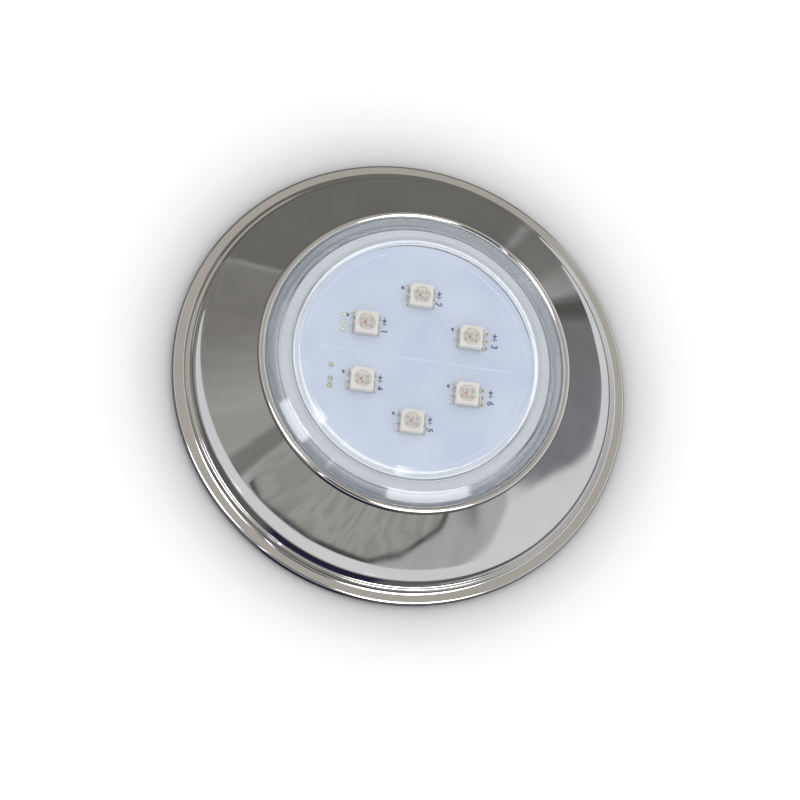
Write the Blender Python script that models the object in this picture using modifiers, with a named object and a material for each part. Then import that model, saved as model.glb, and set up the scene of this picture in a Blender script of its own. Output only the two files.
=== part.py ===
"""Small round underwater pool light, lying on its back.

The frame is the wall's: Z = 0 is the wall plane that the base is screwed to, +Z points out of the
wall into the water, and the Z axis is the lamp's axis. +X is the row direction of the LED board.
Everything is in metres; the dimensions below are millimetres times MM.

A moulded wall base carries a bayonet socket and three spring clips. The lamp capsule (white cup,
clear lens, LED board, cord gland) turns into the socket, and the polished trim bell snaps over
both, leaving only the lens showing.
"""

import math

import bmesh
import bpy
from mathutils import Matrix, Vector

MM = 0.001
ROUND_STEPS = 48  # facets of the large turned pieces
SMALL_STEPS = 24  # facets of the gland and the screws
AIR = 0.3 * MM  # gap kept between neighbouring pieces

# Trim bell: drawn stainless sheet with two steps and a flange at its foot and a beaded mouth
TRIM_SHEET = 0.8 * MM
TRIM_CORNERS = (  # radius, height and rounding in millimetres, down the outside
    (43.6, 6.95, 0.0),  # end of the straight flank
    (44.8, 5.8, 9.0),  # the flank flares out
    (46.15, 4.95, 1.8),  # top of the upper step
    (46.6, 3.5, 0.25),  # foot of the upper step
    (47.25, 3.35, 0.25),  # top of the lower step
    (47.55, 2.3, 0.6),  # foot of the lower step
    (50.0, 1.95, 0.8),  # outer edge of the flange
    (50.0, 0.4, 0.0),  # foot
)
BEAD_CENTRE = (33.45 * MM, 16.5 * MM)
BEAD_ROUND = 0.9 * MM
BEAD_FLANK_DEG = -35.0  # where the bead meets the flank, from the outward direction
BEAD_UNDER_DEG = (-105.0, -155.0)  # the part of the bead that shows inside the bell

# Lens: clear moulded cap, proud of the trim's mouth
LENS_SKIRT_RADIUS = 32.3 * MM
LENS_SKIRT_INNER = 29.95 * MM
LENS_SKIRT_Z = 12.0 * MM
LENS_SHOULDER_Z = 17.4 * MM
LENS_FLAT_RADIUS = 29.9 * MM
LENS_FLAT_Z = 18.8 * MM
LENS_STEP_RADIUS = 27.6 * MM
BEVEL_FOOT = (27.0 * MM, 19.55 * MM)
WINDOW_RADIUS = 25.25 * MM
WINDOW_Z = 20.8 * MM
WINDOW_CROWN_Z = 21.05 * MM
LENS_INNER_Z = 19.3 * MM
LENS_RIM_INNER_Z = 17.5 * MM
LENS_POCKET_RADIUS = 26.0 * MM
LENS_POCKET_DRAFT = 0.6 * MM

# Lamp body: white cup that holds the board
BODY_RADIUS = 29.6 * MM
BODY_INNER = 26.0 * MM
BODY_LEDGE_INNER = 23.4 * MM
BODY_SKIRT_INNER = 26.6 * MM
BODY_FOOT_Z = 4.0 * MM
BODY_WALL_Z = 9.1 * MM
BODY_FLOOR_Z = 11.0 * MM
BODY_LEDGE_Z = 15.35 * MM
BODY_RIM_Z = 17.15 * MM
RING_GROOVE_RADIUS = 28.3 * MM
RING_GROOVE_Z = (13.6 * MM, 15.4 * MM)
SEAL_RING_RADIUS = 29.05 * MM
SEAL_RING_ROUND = 0.6 * MM
GLAND_HOLE_RADIUS = 6.2 * MM

# Bayonet: three lugs on the lamp body under three tabs of the base's socket
LUG_COUNT = 3
LUG_HALF_DEG = 12.0
LUG_RADIUS = 31.4 * MM
LUG_Z = (6.2 * MM, 8.3 * MM)
UNLOCK_DEG = 25.0
ENTRY_HALF_DEG = 13.5
STOP_DEG = 3.0
STOP_GAP_DEG = 1.0

# Wall base
BASE_RADIUS = 43.0 * MM
BASE_PLATE = 3.0 * MM
BASE_HOLE_RADIUS = 14.0 * MM
SOCKET_INNER = 31.9 * MM
SOCKET_OUTER = 35.0 * MM
SOCKET_TAB_INNER = 30.0 * MM
SOCKET_TAB_Z = (8.7 * MM, 10.6 * MM)
WALL_SCREW_CIRCLE = 38.8 * MM
WALL_SCREW_HOLE = 2.2 * MM
GASKET_Z = (3.3 * MM, 3.7 * MM)
GASKET_RADII = (20.0 * MM, 28.8 * MM)

# Spring clips that press on the inside of the trim's upright edge
CLIP_COUNT = 3
CLIP_WIDTH = 9.0 * MM
CLIP_SHEET = 0.4 * MM
CLIP_PATH = ((35.9, 3.5), (43.6, 3.5), (45.4, 1.4), (46.5, 0.75), (48.6, 0.75))  # radius, height in mm
CLIP_SCREW_CIRCLE = 39.2 * MM
CLIP_SCREW_SHANK = 1.2 * MM
CLIP_SCREW_HEAD = 2.6 * MM

# LED board and what is soldered to it
BOARD_RADIUS = 25.8 * MM
BOARD_Z = (15.65 * MM, 17.25 * MM)
SOLDER_GAP = 0.15 * MM
LED_SIDE = 5.0 * MM
LED_HEIGHT = 1.6 * MM
LED_COLUMN_X = 11.5 * MM
LED_ROW_Y = 6.45 * MM
LED_END_Y = 14.3 * MM
RESISTOR_SIZE = (3.2 * MM, 1.6 * MM, 0.6 * MM)
RECTIFIER_SIZE = (5.0 * MM, 4.0 * MM, 1.6 * MM)
CAPACITOR_RADIUS = 2.0 * MM
CAPACITOR_HEIGHT = 4.0 * MM
SOCKET_SIZE = (9.6 * MM, 4.4 * MM, 4.0 * MM)

# Cord gland
GLAND_STUB_RADIUS = 5.6 * MM
GLAND_SHANK_RADIUS = 5.9 * MM
GLAND_BORE = 3.4 * MM
GLAND_POCKET = 4.6 * MM
GLAND_STUB_Z = 3.1 * MM
GLAND_POCKET_TOP_Z = 5.9 * MM
GLAND_FLANGE_Z = (5.9 * MM, 8.3 * MM)
GLAND_TOP_Z = 13.7 * MM
GLAND_FLATS = 15.0 * MM
GLAND_SEAL_RADII = (3.15 * MM, 4.3 * MM)
GLAND_SEAL_Z = (3.1 * MM, 5.6 * MM)
GLAND_WASHER_Z = (8.45 * MM, 8.85 * MM)
GLAND_WASHER_RADII = (6.2 * MM, 8.6 * MM)
LOCKNUT_Z = (11.25 * MM, 13.2 * MM)
SLIP_RING_Z = (1.5 * MM, 2.1 * MM)
SLIP_RING_RADII = (3.3 * MM, 5.5 * MM)
NUT_Z = (0.5 * MM, 4.7 * MM)
NUT_FLOOR_Z = 1.3 * MM
NUT_BORE = 3.3 * MM
NUT_THREAD_RADIUS = 5.9 * MM
NUT_FLATS = 16.0 * MM


# --- scene, materials and shape helpers ------------------------------------------------------

def clear_scene():
    """Empties the open file without closing it."""
    for item in list(bpy.data.objects):
        bpy.data.objects.remove(item, do_unlink=True)


def new_collection(name):
    made = bpy.data.collections.new(name)
    bpy.context.scene.collection.children.link(made)
    return made


def finish_material(name, colour, roughness, metallic=0.0, transmission=0.0):
    made = bpy.data.materials.new(name)
    made.use_nodes = True
    shader = made.node_tree.nodes["Principled BSDF"]
    shader.inputs["Base Color"].default_value = (*colour, 1.0)
    shader.inputs["Roughness"].default_value = roughness
    shader.inputs["Metallic"].default_value = metallic
    shader.inputs["Transmission Weight"].default_value = transmission
    made.diffuse_color = (*colour, 1.0)
    return made


def add_object(name, mesh, finish, collection):
    """Links a named object whose mesh is shaded smooth up to its sharp edges."""
    made = bpy.data.objects.new(name, mesh)
    collection.objects.link(made)
    if finish is not None:
        mesh.materials.append(finish)
    return made


def smooth_round(mesh):
    mesh.shade_smooth()
    mesh.set_sharp_from_angle(angle=math.radians(30.0))


def arc(centre, radius, start_deg, end_deg, points):
    """Points of a circular stretch of a section, in (radius, height)."""
    turns = [start_deg + (end_deg - start_deg) * i / (points - 1) for i in range(points)]
    return [
        (centre[0] + radius * math.cos(math.radians(a)), centre[1] + radius * math.sin(math.radians(a)))
        for a in turns
    ]


def turned(name, section, finish, steps=ROUND_STEPS, collection=None):
    """Turns a section about Z. It lists (radius, height) down the outer side; it is a closed loop,
    or it starts and ends on the axis."""
    on_axis = section[0][0] == 0.0 and section[-1][0] == 0.0
    mesh = bpy.data.meshes.new(name)
    edges = [(i, i + 1) for i in range(len(section) - 1)]
    if not on_axis:
        edges.append((len(section) - 1, 0))
    mesh.from_pydata([(r, 0.0, z) for r, z in section], edges, [])
    made = add_object(name, mesh, finish, collection or parts)
    spin = made.modifiers.new("Turn", "SCREW")
    spin.axis = "Z"
    spin.angle = math.tau
    spin.steps = steps
    spin.render_steps = steps
    spin.use_smooth_shade = True
    spin.use_merge_vertices = True
    spin.merge_threshold = 0.00001
    return made


def ring(name, inner, outer, heights, finish, steps=ROUND_STEPS):
    low, high = heights
    return turned(name, [(outer, high), (outer, low), (inner, low), (inner, high)], finish, steps)


def prism(name, outline, heights, finish=None, collection=None):
    """Raises a flat outline of (x, y) points from the lower height to the upper one."""
    low, high = heights
    shape = bmesh.new()
    foot = shape.faces.new([shape.verts.new((x, y, low)) for x, y in outline])
    raised = bmesh.ops.extrude_face_region(shape, geom=[foot])["geom"]
    moved = [v for v in raised if isinstance(v, bmesh.types.BMVert)]
    bmesh.ops.translate(shape, vec=Vector((0.0, 0.0, high - low)), verts=moved)
    bmesh.ops.recalc_face_normals(shape, faces=shape.faces)
    mesh = bpy.data.meshes.new(name)
    shape.to_mesh(mesh)
    shape.free()
    return add_object(name, mesh, finish, collection or parts)


def block(name, size, centre, finish, edge=0.0):
    """A box with an optional one-step bevel."""
    shape = bmesh.new()
    bmesh.ops.create_cube(shape, size=1.0, matrix=Matrix.Diagonal((*size, 1.0)))
    mesh = bpy.data.meshes.new(name)
    shape.to_mesh(mesh)
    shape.free()
    made = add_object(name, mesh, finish, parts)
    made.location = centre
    if edge:
        bevel = made.modifiers.new("Edge", "BEVEL")
        bevel.width = edge
        bevel.segments = 1
    return made


def polar(radius, degrees):
    return radius * math.cos(math.radians(degrees)), radius * math.sin(math.radians(degrees))


def sector(inner, outer, start_deg, end_deg):
    """Outline of a piece of a ring, with a point every 7.5 degrees or closer."""
    count = max(1, math.ceil((end_deg - start_deg) / (360.0 / ROUND_STEPS)))
    turns = [start_deg + (end_deg - start_deg) * i / count for i in range(count + 1)]
    return [polar(outer, a) for a in turns] + [polar(inner, a) for a in reversed(turns)]


def circle(radius, centre=(0.0, 0.0), points=SMALL_STEPS, turn_deg=0.0):
    return [
        (centre[0] + x, centre[1] + y)
        for x, y in (polar(radius, turn_deg + 360.0 * i / points) for i in range(points))
    ]


def hexagon(flats, turn_deg=0.0):
    return circle(flats / 2.0 / math.cos(math.radians(30.0)), points=6, turn_deg=turn_deg)


def combine(target, tool, operation):
    """Joins or cuts target with tool, which becomes a hidden guide."""
    for owner in list(tool.users_collection):
        owner.objects.unlink(tool)
    cutters.objects.link(tool)
    tool.hide_render = True
    tool.display_type = "WIRE"
    step = target.modifiers.new(operation.title() + " " + tool.name, "BOOLEAN")
    step.operation = operation
    step.solver = "EXACT"
    step.object = tool


def cut_prism(target, name, outline, heights):
    combine(target, prism(name, outline, heights, collection=cutters), "DIFFERENCE")


def join_prism(target, name, outline, heights):
    combine(target, prism(name, outline, heights, collection=cutters), "UNION")


# --- trim ------------------------------------------------------------------------------------

def rounded(corners):
    """The outline through (radius, height, rounding) corners, with three points to a rounding."""
    made = []
    for i, (r, z, size) in enumerate(corners):
        if size == 0.0:
            made.append((r, z))
            continue
        here = Vector((r, z))
        back = (Vector(corners[i - 1][:2]) - here).normalized()
        ahead = (Vector(corners[i + 1][:2]) - here).normalized()
        half = back.angle(ahead) / 2.0
        reach = size / math.tan(half)
        nearest = (back + ahead).normalized() * (size / math.sin(half) - size)
        made += [tuple(here + step) for step in (back * reach, nearest, ahead * reach)]
    return made


def inset(outline, distance):
    """The open outline moved sideways by distance, to the right of its direction."""
    moved = []
    last = len(outline) - 1
    for i, point in enumerate(outline):
        first = max(i, 1)
        second = min(i + 1, last)
        back = Vector(outline[first]) - Vector(outline[first - 1])
        ahead = Vector(outline[second]) - Vector(outline[second - 1])
        sides = [Vector((run.y, -run.x)).normalized() for run in (back, ahead)]
        middle = (sides[0] + sides[1]).normalized()
        moved.append(tuple(Vector(point) + middle * (distance / middle.dot(sides[0]))))
    return moved


def trim_section():
    """The bell's section: mouth bead, flank, steps and flange, then back up inside the sheet."""
    foot = [(r * MM, z * MM, size * MM) for r, z, size in TRIM_CORNERS]
    bead = arc(BEAD_CENTRE, BEAD_ROUND, 180.0, BEAD_FLANK_DEG, 7)
    inside = inset([bead[-1]] + [corner[:2] for corner in foot], TRIM_SHEET)
    inside.reverse()
    return bead + rounded(foot) + inside + arc(BEAD_CENTRE, BEAD_ROUND, *BEAD_UNDER_DEG, 3)


def make_trim():
    turned("trim_shell", trim_section(), STEEL)


# --- wall base -------------------------------------------------------------------------------

def make_wall_base():
    tab_low, tab_high = SOCKET_TAB_Z
    section = [
        (SOCKET_OUTER, tab_high),
        (SOCKET_OUTER, BASE_PLATE),
        (BASE_RADIUS, BASE_PLATE),
        (BASE_RADIUS, 0.0),
        (BASE_HOLE_RADIUS, 0.0),
        (BASE_HOLE_RADIUS, BASE_PLATE),
        (SOCKET_INNER, BASE_PLATE),
        (SOCKET_INNER, tab_low),
        (SOCKET_TAB_INNER, tab_low),
        (SOCKET_TAB_INNER, tab_high),
    ]
    base = turned("wall_base", section, GREY_ABS)
    pitch = 360.0 / LUG_COUNT
    through = (-1.0 * MM, tab_high + 1.0 * MM)
    for i in range(LUG_COUNT):
        at = i * pitch
        entry = at + UNLOCK_DEG
        name = f"entry_cut_{i + 1}"
        outline = sector(
            SOCKET_TAB_INNER - 1.0 * MM, SOCKET_INNER, entry - ENTRY_HALF_DEG, entry + ENTRY_HALF_DEG
        )
        cut_prism(base, name, outline, (tab_low - 0.5 * MM, tab_high + 1.0 * MM))
        locked_end = at - LUG_HALF_DEG - STOP_GAP_DEG
        free_start = entry + LUG_HALF_DEG + STOP_GAP_DEG
        for label, start in (("lock", locked_end - STOP_DEG), ("free", free_start)):
            outline = sector(SOCKET_TAB_INNER, SOCKET_INNER + 1.0 * MM, start, start + STOP_DEG)
            join_prism(base, f"{label}_stop_{i + 1}", outline, (BASE_PLATE - 0.5 * MM, tab_low + 0.5 * MM))
        hole = polar(WALL_SCREW_CIRCLE, at + pitch / 2.0)
        cut_prism(base, f"wall_screw_cut_{i + 1}", circle(WALL_SCREW_HOLE, hole), through)
        pilot = polar(CLIP_SCREW_CIRCLE, at)
        outline = circle(CLIP_SCREW_SHANK + AIR, pilot, points=SMALL_STEPS // 2)
        cut_prism(base, f"pilot_cut_{i + 1}", outline, (0.5 * MM, BASE_PLATE + 1.0 * MM))
    ring("seat_gasket", *GASKET_RADII, GASKET_Z, BLACK_RUBBER)


def make_clip(number, turn_deg):
    """A leaf of spring steel: flat foot, then down over the base's edge and out to the trim's edge."""
    mesh = bpy.data.meshes.new(f"trim_clip_{number}")
    shape = bmesh.new()
    half = CLIP_WIDTH / 2.0
    edge = [shape.verts.new((r * MM, -half, z * MM)) for r, z in CLIP_PATH]
    run = [shape.edges.new(pair) for pair in zip(edge, edge[1:])]
    raised = bmesh.ops.extrude_edge_only(shape, edges=run)["geom"]
    moved = [v for v in raised if isinstance(v, bmesh.types.BMVert)]
    bmesh.ops.translate(shape, vec=Vector((0.0, CLIP_WIDTH, 0.0)), verts=moved)
    bmesh.ops.recalc_face_normals(shape, faces=shape.faces)
    shape.to_mesh(mesh)
    shape.free()
    clip = add_object(f"trim_clip_{number}", mesh, SPRING_STEEL, parts)
    clip.rotation_euler = (0.0, 0.0, math.radians(turn_deg))
    sheet = clip.modifiers.new("Sheet", "SOLIDIFY")
    sheet.thickness = CLIP_SHEET
    sheet.offset = 0.0
    outline = circle(CLIP_SCREW_SHANK + AIR, polar(CLIP_SCREW_CIRCLE, turn_deg), points=SMALL_STEPS // 2)
    cut_prism(clip, f"clip_hole_cut_{number}", outline, (BASE_PLATE, BASE_PLATE + 1.0 * MM))


def make_clip_screw(number, turn_deg):
    head_low = CLIP_PATH[0][1] * MM + CLIP_SHEET / 2.0 + AIR / 2.0
    head_high = head_low + 1.5 * MM
    section = [
        (0.0, head_high),
        (CLIP_SCREW_HEAD - 0.7 * MM, head_high),
        (CLIP_SCREW_HEAD, head_low + 0.6 * MM),
        (CLIP_SCREW_HEAD, head_low),
        (CLIP_SCREW_SHANK, head_low),
        (CLIP_SCREW_SHANK, 1.0 * MM),
        (0.0, 0.8 * MM),
    ]
    screw = turned(f"clip_screw_{number}", section, SPRING_STEEL, SMALL_STEPS // 2)
    x, y = polar(CLIP_SCREW_CIRCLE, turn_deg)
    screw.location = (x, y, 0.0)
    arms = 0.35 * MM
    for label, wide, deep in (("a", arms, 1.5 * MM), ("b", 1.5 * MM, arms)):
        outline = [(x - wide, y - deep), (x + wide, y - deep), (x + wide, y + deep), (x - wide, y + deep)]
        cut_prism(screw, f"cross_cut_{number}_{label}", outline, (head_high - 0.7 * MM, head_high + 1.0 * MM))


def make_clips():
    for i in range(CLIP_COUNT):
        turn = 360.0 / CLIP_COUNT * i
        make_clip(i + 1, turn)
        make_clip_screw(i + 1, turn)


# --- lamp capsule ----------------------------------------------------------------------------

def make_lamp_body():
    groove_low, groove_high = RING_GROOVE_Z
    section = [
        (BODY_RADIUS, BODY_RIM_Z),
        (BODY_RADIUS, groove_high),
        (RING_GROOVE_RADIUS, groove_high),
        (RING_GROOVE_RADIUS, groove_low),
        (BODY_RADIUS, groove_low),
        (BODY_RADIUS, BODY_FOOT_Z),
        (BODY_SKIRT_INNER, BODY_FOOT_Z),
        (BODY_SKIRT_INNER, BODY_WALL_Z),
        (GLAND_HOLE_RADIUS, BODY_WALL_Z),
        (GLAND_HOLE_RADIUS, BODY_FLOOR_Z),
        (BODY_LEDGE_INNER, BODY_FLOOR_Z),
        (BODY_LEDGE_INNER, BODY_LEDGE_Z),
        (BODY_INNER, BODY_LEDGE_Z),
        (BODY_INNER, BODY_RIM_Z),
    ]
    body = turned("lamp_body", section, WHITE_ABS)
    for i in range(LUG_COUNT):
        at = 360.0 / LUG_COUNT * i
        outline = sector(BODY_RADIUS - 1.0 * MM, LUG_RADIUS, at - LUG_HALF_DEG, at + LUG_HALF_DEG)
        join_prism(body, f"bayonet_lug_{i + 1}", outline, LUG_Z)


def make_lens():
    section = [
        (0.0, WINDOW_CROWN_Z),
        (WINDOW_RADIUS * 0.6, WINDOW_CROWN_Z - 0.1 * MM),
        (WINDOW_RADIUS, WINDOW_Z),
        BEVEL_FOOT,
        (LENS_STEP_RADIUS, LENS_FLAT_Z + 0.1 * MM),
        (LENS_FLAT_RADIUS, LENS_FLAT_Z),
        (LENS_SKIRT_RADIUS, LENS_SHOULDER_Z),
        (LENS_SKIRT_RADIUS, LENS_SKIRT_Z),
        (LENS_SKIRT_INNER, LENS_SKIRT_Z),
        (LENS_SKIRT_INNER, LENS_RIM_INNER_Z),
        (LENS_POCKET_RADIUS, LENS_RIM_INNER_Z),
        (LENS_POCKET_RADIUS - LENS_POCKET_DRAFT, LENS_INNER_Z),
        (0.0, LENS_INNER_Z),
    ]
    turned("lens", section, CLEAR)


def make_seal_ring():
    middle = (SEAL_RING_RADIUS, sum(RING_GROOVE_Z) / 2.0)
    section = arc(middle, SEAL_RING_ROUND, 90.0, -225.0, 8)
    turned("lens_seal_ring", section, BLACK_RUBBER)


def led_places():
    """LED centres on the board, numbered as the board is printed."""
    return [
        (-LED_COLUMN_X, LED_ROW_Y),
        (0.0, LED_END_Y),
        (LED_COLUMN_X, LED_ROW_Y),
        (-LED_COLUMN_X, -LED_ROW_Y),
        (0.0, -LED_END_Y),
        (LED_COLUMN_X, -LED_ROW_Y),
    ]


def make_board():
    board_low, board_high = BOARD_Z
    turned(
        "led_board",
        [(0.0, board_high), (BOARD_RADIUS, board_high), (BOARD_RADIUS, board_low), (0.0, board_low)],
        BOARD_WHITE,
    )
    lift = board_high + SOLDER_GAP + LED_HEIGHT / 2.0
    for number, (x, y) in enumerate(led_places(), start=1):
        block(f"led_{number}", (LED_SIDE, LED_SIDE, LED_HEIGHT), (x, y, lift), LED_CREAM, 0.3 * MM)
    under = board_low - SOLDER_GAP
    rows = [(x, y) for y in (9.0 * MM, -9.0 * MM) for x in (-13.0 * MM, -9.0 * MM, -5.0 * MM)]
    for number, (x, y) in enumerate(rows, start=1):
        wide, long, tall = RESISTOR_SIZE
        block(f"resistor_{number}", (long, wide, tall), (x, y, under - tall / 2.0), CERAMIC_BLACK)
    tall = RECTIFIER_SIZE[2]
    block("bridge_rectifier", RECTIFIER_SIZE, (7.0 * MM, 11.0 * MM, under - tall / 2.0), CERAMIC_BLACK, 0.3 * MM)
    tall = SOCKET_SIZE[2]
    block("lead_socket", SOCKET_SIZE, (0.0, -14.5 * MM, under - tall / 2.0), WHITE_ABS, 0.3 * MM)
    can = [
        (0.0, under),
        (CAPACITOR_RADIUS, under),
        (CAPACITOR_RADIUS, under - CAPACITOR_HEIGHT + 0.3 * MM),
        (CAPACITOR_RADIUS - 0.3 * MM, under - CAPACITOR_HEIGHT),
        (0.0, under - CAPACITOR_HEIGHT),
    ]
    capacitor = turned("smoothing_capacitor", can, ALUMINIUM, SMALL_STEPS)
    capacitor.location = (14.5 * MM, 4.0 * MM, 0.0)


# --- cord gland ------------------------------------------------------------------------------

def make_gland():
    """The gland through the cup's back wall: body, washer, locknut, seal, slip ring and nut."""
    body = turned(
        "gland_body",
        [
            (GLAND_SHANK_RADIUS, GLAND_TOP_Z),
            (GLAND_SHANK_RADIUS, GLAND_FLANGE_Z[1] - 0.5 * MM),
            (GLAND_STUB_RADIUS, GLAND_FLANGE_Z[0] + 0.5 * MM),
            (GLAND_STUB_RADIUS, GLAND_STUB_Z),
            (GLAND_POCKET, GLAND_STUB_Z),
            (GLAND_POCKET, GLAND_POCKET_TOP_Z),
            (GLAND_BORE, GLAND_POCKET_TOP_Z),
            (GLAND_BORE, GLAND_TOP_Z),
        ],
        BLACK_NYLON,
        SMALL_STEPS,
    )
    flange = prism("gland_hex", hexagon(GLAND_FLATS), GLAND_FLANGE_Z, collection=cutters)
    cut_prism(flange, "gland_hex_bore", circle(GLAND_POCKET + 0.4 * MM), (0.0, 10.0 * MM))
    combine(body, flange, "UNION")
    ring("gland_washer", *GLAND_WASHER_RADII, GLAND_WASHER_Z, BLACK_RUBBER, SMALL_STEPS)
    ring("gland_seal", *GLAND_SEAL_RADII, GLAND_SEAL_Z, BLACK_RUBBER, SMALL_STEPS)
    ring("gland_slip_ring", *SLIP_RING_RADII, SLIP_RING_Z, WHITE_ABS, SMALL_STEPS)
    locknut = prism("gland_locknut", hexagon(GLAND_FLATS, 15.0), LOCKNUT_Z, BLACK_NYLON)
    cut_prism(locknut, "locknut_bore", circle(GLAND_SHANK_RADIUS + AIR), (10.0 * MM, 15.0 * MM))
    nut = prism("gland_nut", hexagon(NUT_FLATS), NUT_Z, BLACK_NYLON)
    cut_prism(nut, "nut_bore", circle(NUT_BORE), (-1.0 * MM, 3.0 * MM))
    cut_prism(nut, "nut_thread", circle(NUT_THREAD_RADIUS), (NUT_FLOOR_Z, NUT_Z[1] + 1.0 * MM))


clear_scene()
parts = new_collection("pool_light")
cutters = new_collection("pool_light_cutters")

STEEL = finish_material("polished_steel", (0.78, 0.77, 0.75), 0.04, metallic=1.0)
SPRING_STEEL = finish_material("spring_steel", (0.62, 0.62, 0.61), 0.25, metallic=1.0)
GREY_ABS = finish_material("grey_abs", (0.62, 0.63, 0.63), 0.5)
WHITE_ABS = finish_material("white_abs", (0.86, 0.85, 0.82), 0.35)
CLEAR = finish_material("clear_polycarbonate", (0.92, 0.95, 0.97), 0.03, transmission=1.0)
BLACK_RUBBER = finish_material("black_rubber", (0.03, 0.03, 0.03), 0.7)
BLACK_NYLON = finish_material("black_nylon", (0.04, 0.04, 0.045), 0.45)
BOARD_WHITE = finish_material("board_white", (0.72, 0.80, 0.88), 0.4)
LED_CREAM = finish_material("led_cream", (0.80, 0.72, 0.60), 0.4)
CERAMIC_BLACK = finish_material("component_black", (0.05, 0.05, 0.05), 0.4)
ALUMINIUM = finish_material("aluminium_can", (0.75, 0.75, 0.76), 0.3, metallic=1.0)

make_trim()
make_wall_base()
make_clips()
make_lamp_body()
make_lens()
make_seal_ring()
make_board()
make_gland()

for item in parts.objects:
    smooth_round(item.data)
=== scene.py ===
"""Looks of the small round underwater pool light, on its back on a plain pale floor.

Sections and outlines are in millimetres and become metres in the mesh helpers. Every piece sits where
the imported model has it: outer radii and heights are read from the frame, and the rest repeats the
model's own dimensions.
"""

import math

import bmesh
import bpy
from mathutils import Matrix, Vector


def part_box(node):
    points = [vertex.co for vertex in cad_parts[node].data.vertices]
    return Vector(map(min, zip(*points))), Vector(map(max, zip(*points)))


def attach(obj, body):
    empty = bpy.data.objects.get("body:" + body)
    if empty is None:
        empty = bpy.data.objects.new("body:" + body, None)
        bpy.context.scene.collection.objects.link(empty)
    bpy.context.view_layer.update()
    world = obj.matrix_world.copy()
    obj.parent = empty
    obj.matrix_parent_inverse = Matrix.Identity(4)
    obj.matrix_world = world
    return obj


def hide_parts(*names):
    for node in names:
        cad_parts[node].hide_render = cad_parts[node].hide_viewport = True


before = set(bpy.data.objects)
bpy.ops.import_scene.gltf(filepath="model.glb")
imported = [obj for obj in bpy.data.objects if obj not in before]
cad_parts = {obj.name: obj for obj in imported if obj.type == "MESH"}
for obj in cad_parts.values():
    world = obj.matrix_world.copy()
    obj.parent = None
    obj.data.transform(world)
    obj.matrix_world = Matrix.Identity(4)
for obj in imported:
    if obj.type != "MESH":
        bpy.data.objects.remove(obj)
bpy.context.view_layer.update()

MM = 0.001
ARC_STEP_DEG = 6.0  # facets of rounded stretches of a section
ROUND_STEPS = 256  # facets of the large turned pieces
SMALL_STEPS = 96  # facets of the gland, the screws and the capacitor
SUPPORT = 0.05  # rows this close to a bend keep the flats beside it flat
SUPPORT_BEND_DEG = 2.0  # slighter bends get no such row
SHARP_DEG = 34.0  # edges sharper than this stay sharp
POCKET_MATT = 0.75  # share of matt white on the side of the lens's pocket
SKIRT_MATT = 0.7  # the same, on average, on the inside and foot of the lens's skirt


def heights(node):
    """Lowest and highest point of a node, in millimetres."""
    return [corner.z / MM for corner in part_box(node)]


def block(node):
    """Middle, size, foot and top of the box round a node, in millimetres."""
    low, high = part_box(node)
    return (low + high) / 2.0 / MM, (high - low) / MM, low.z / MM, high.z / MM


def span(node):
    """Outer radius, lowest and highest point of a node on the lamp's axis, in millimetres."""
    low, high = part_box(node)
    return high.x / MM, low.z / MM, high.z / MM


# --- shape helpers ---------------------------------------------------------------------------

def arc(centre, radius, start_deg, end_deg, step_deg=ARC_STEP_DEG):
    """Points of a circular stretch of a section, in (radius, height)."""
    count = max(2, math.ceil(abs(end_deg - start_deg) / step_deg))
    turns = [math.radians(start_deg + (end_deg - start_deg) * i / count) for i in range(count + 1)]
    return [(centre[0] + radius * math.cos(a), centre[1] + radius * math.sin(a)) for a in turns]


def polar(radius, degrees):
    return radius * math.cos(math.radians(degrees)), radius * math.sin(math.radians(degrees))


def rounded(corners, radius, closed=True, step_deg=15.0):
    """The outline through corners with each corner rounded. A corner may carry its own radius as a
    third number. An open outline keeps its two end points."""
    made = []
    count = len(corners)
    for i, corner in enumerate(corners):
        here = Vector(corner[:2])
        if not closed and i in (0, count - 1):
            made.append((here.x, here.y))
            continue
        size = corner[2] if len(corner) > 2 else radius
        back = Vector(corners[i - 1][:2]) - here
        ahead = Vector(corners[(i + 1) % count][:2]) - here
        angle = back.angle(ahead)
        if size <= 0.0 or math.pi - angle < math.radians(2.0):
            made.append((here.x, here.y))
            continue
        reach = min(size / math.tan(angle / 2.0), 0.45 * back.length, 0.45 * ahead.length)
        size = reach * math.tan(angle / 2.0)
        middle = here + (back.normalized() + ahead.normalized()).normalized() * (size / math.sin(angle / 2.0))
        first = here + back.normalized() * reach - middle
        last = here + ahead.normalized() * reach - middle
        steps = max(2, math.ceil(math.degrees(math.pi - angle) / step_deg))
        for k in range(steps + 1):
            point = middle + first.slerp(last, k / steps) * size  # slerp gives a unit direction
            made.append((point.x, point.y))
    return made


def supported(section, closed):
    """Adds a point close to each end of a long stretch where the section bends there."""
    made = []
    count = len(section)
    runs = [Vector(section[(i + 1) % count]) - Vector(section[i]) for i in range(count)]
    for i, here in enumerate(section):
        made.append(here)
        if i == count - 1 and not closed:
            break
        length = runs[i].length
        if length < 6.0 * SUPPORT:
            continue
        for share, other in ((SUPPORT / length, i - 1), (1.0 - SUPPORT / length, (i + 1) % count)):
            if runs[other].length > 0.0 and runs[i].angle(runs[other]) > math.radians(SUPPORT_BEND_DEG):
                made.append(tuple(Vector(here) + runs[i] * share))
    return made


def mesh_of(shape, name):
    """A new mesh with what the bmesh holds, and the bmesh goes."""
    mesh = bpy.data.meshes.new(name)
    shape.to_mesh(mesh)
    shape.free()
    return mesh


def new_piece(name, mesh, finish):
    made = bpy.data.objects.new(name, mesh)
    bpy.context.scene.collection.objects.link(made)
    mesh.materials.clear()
    mesh.materials.append(finish)
    return made


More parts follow.
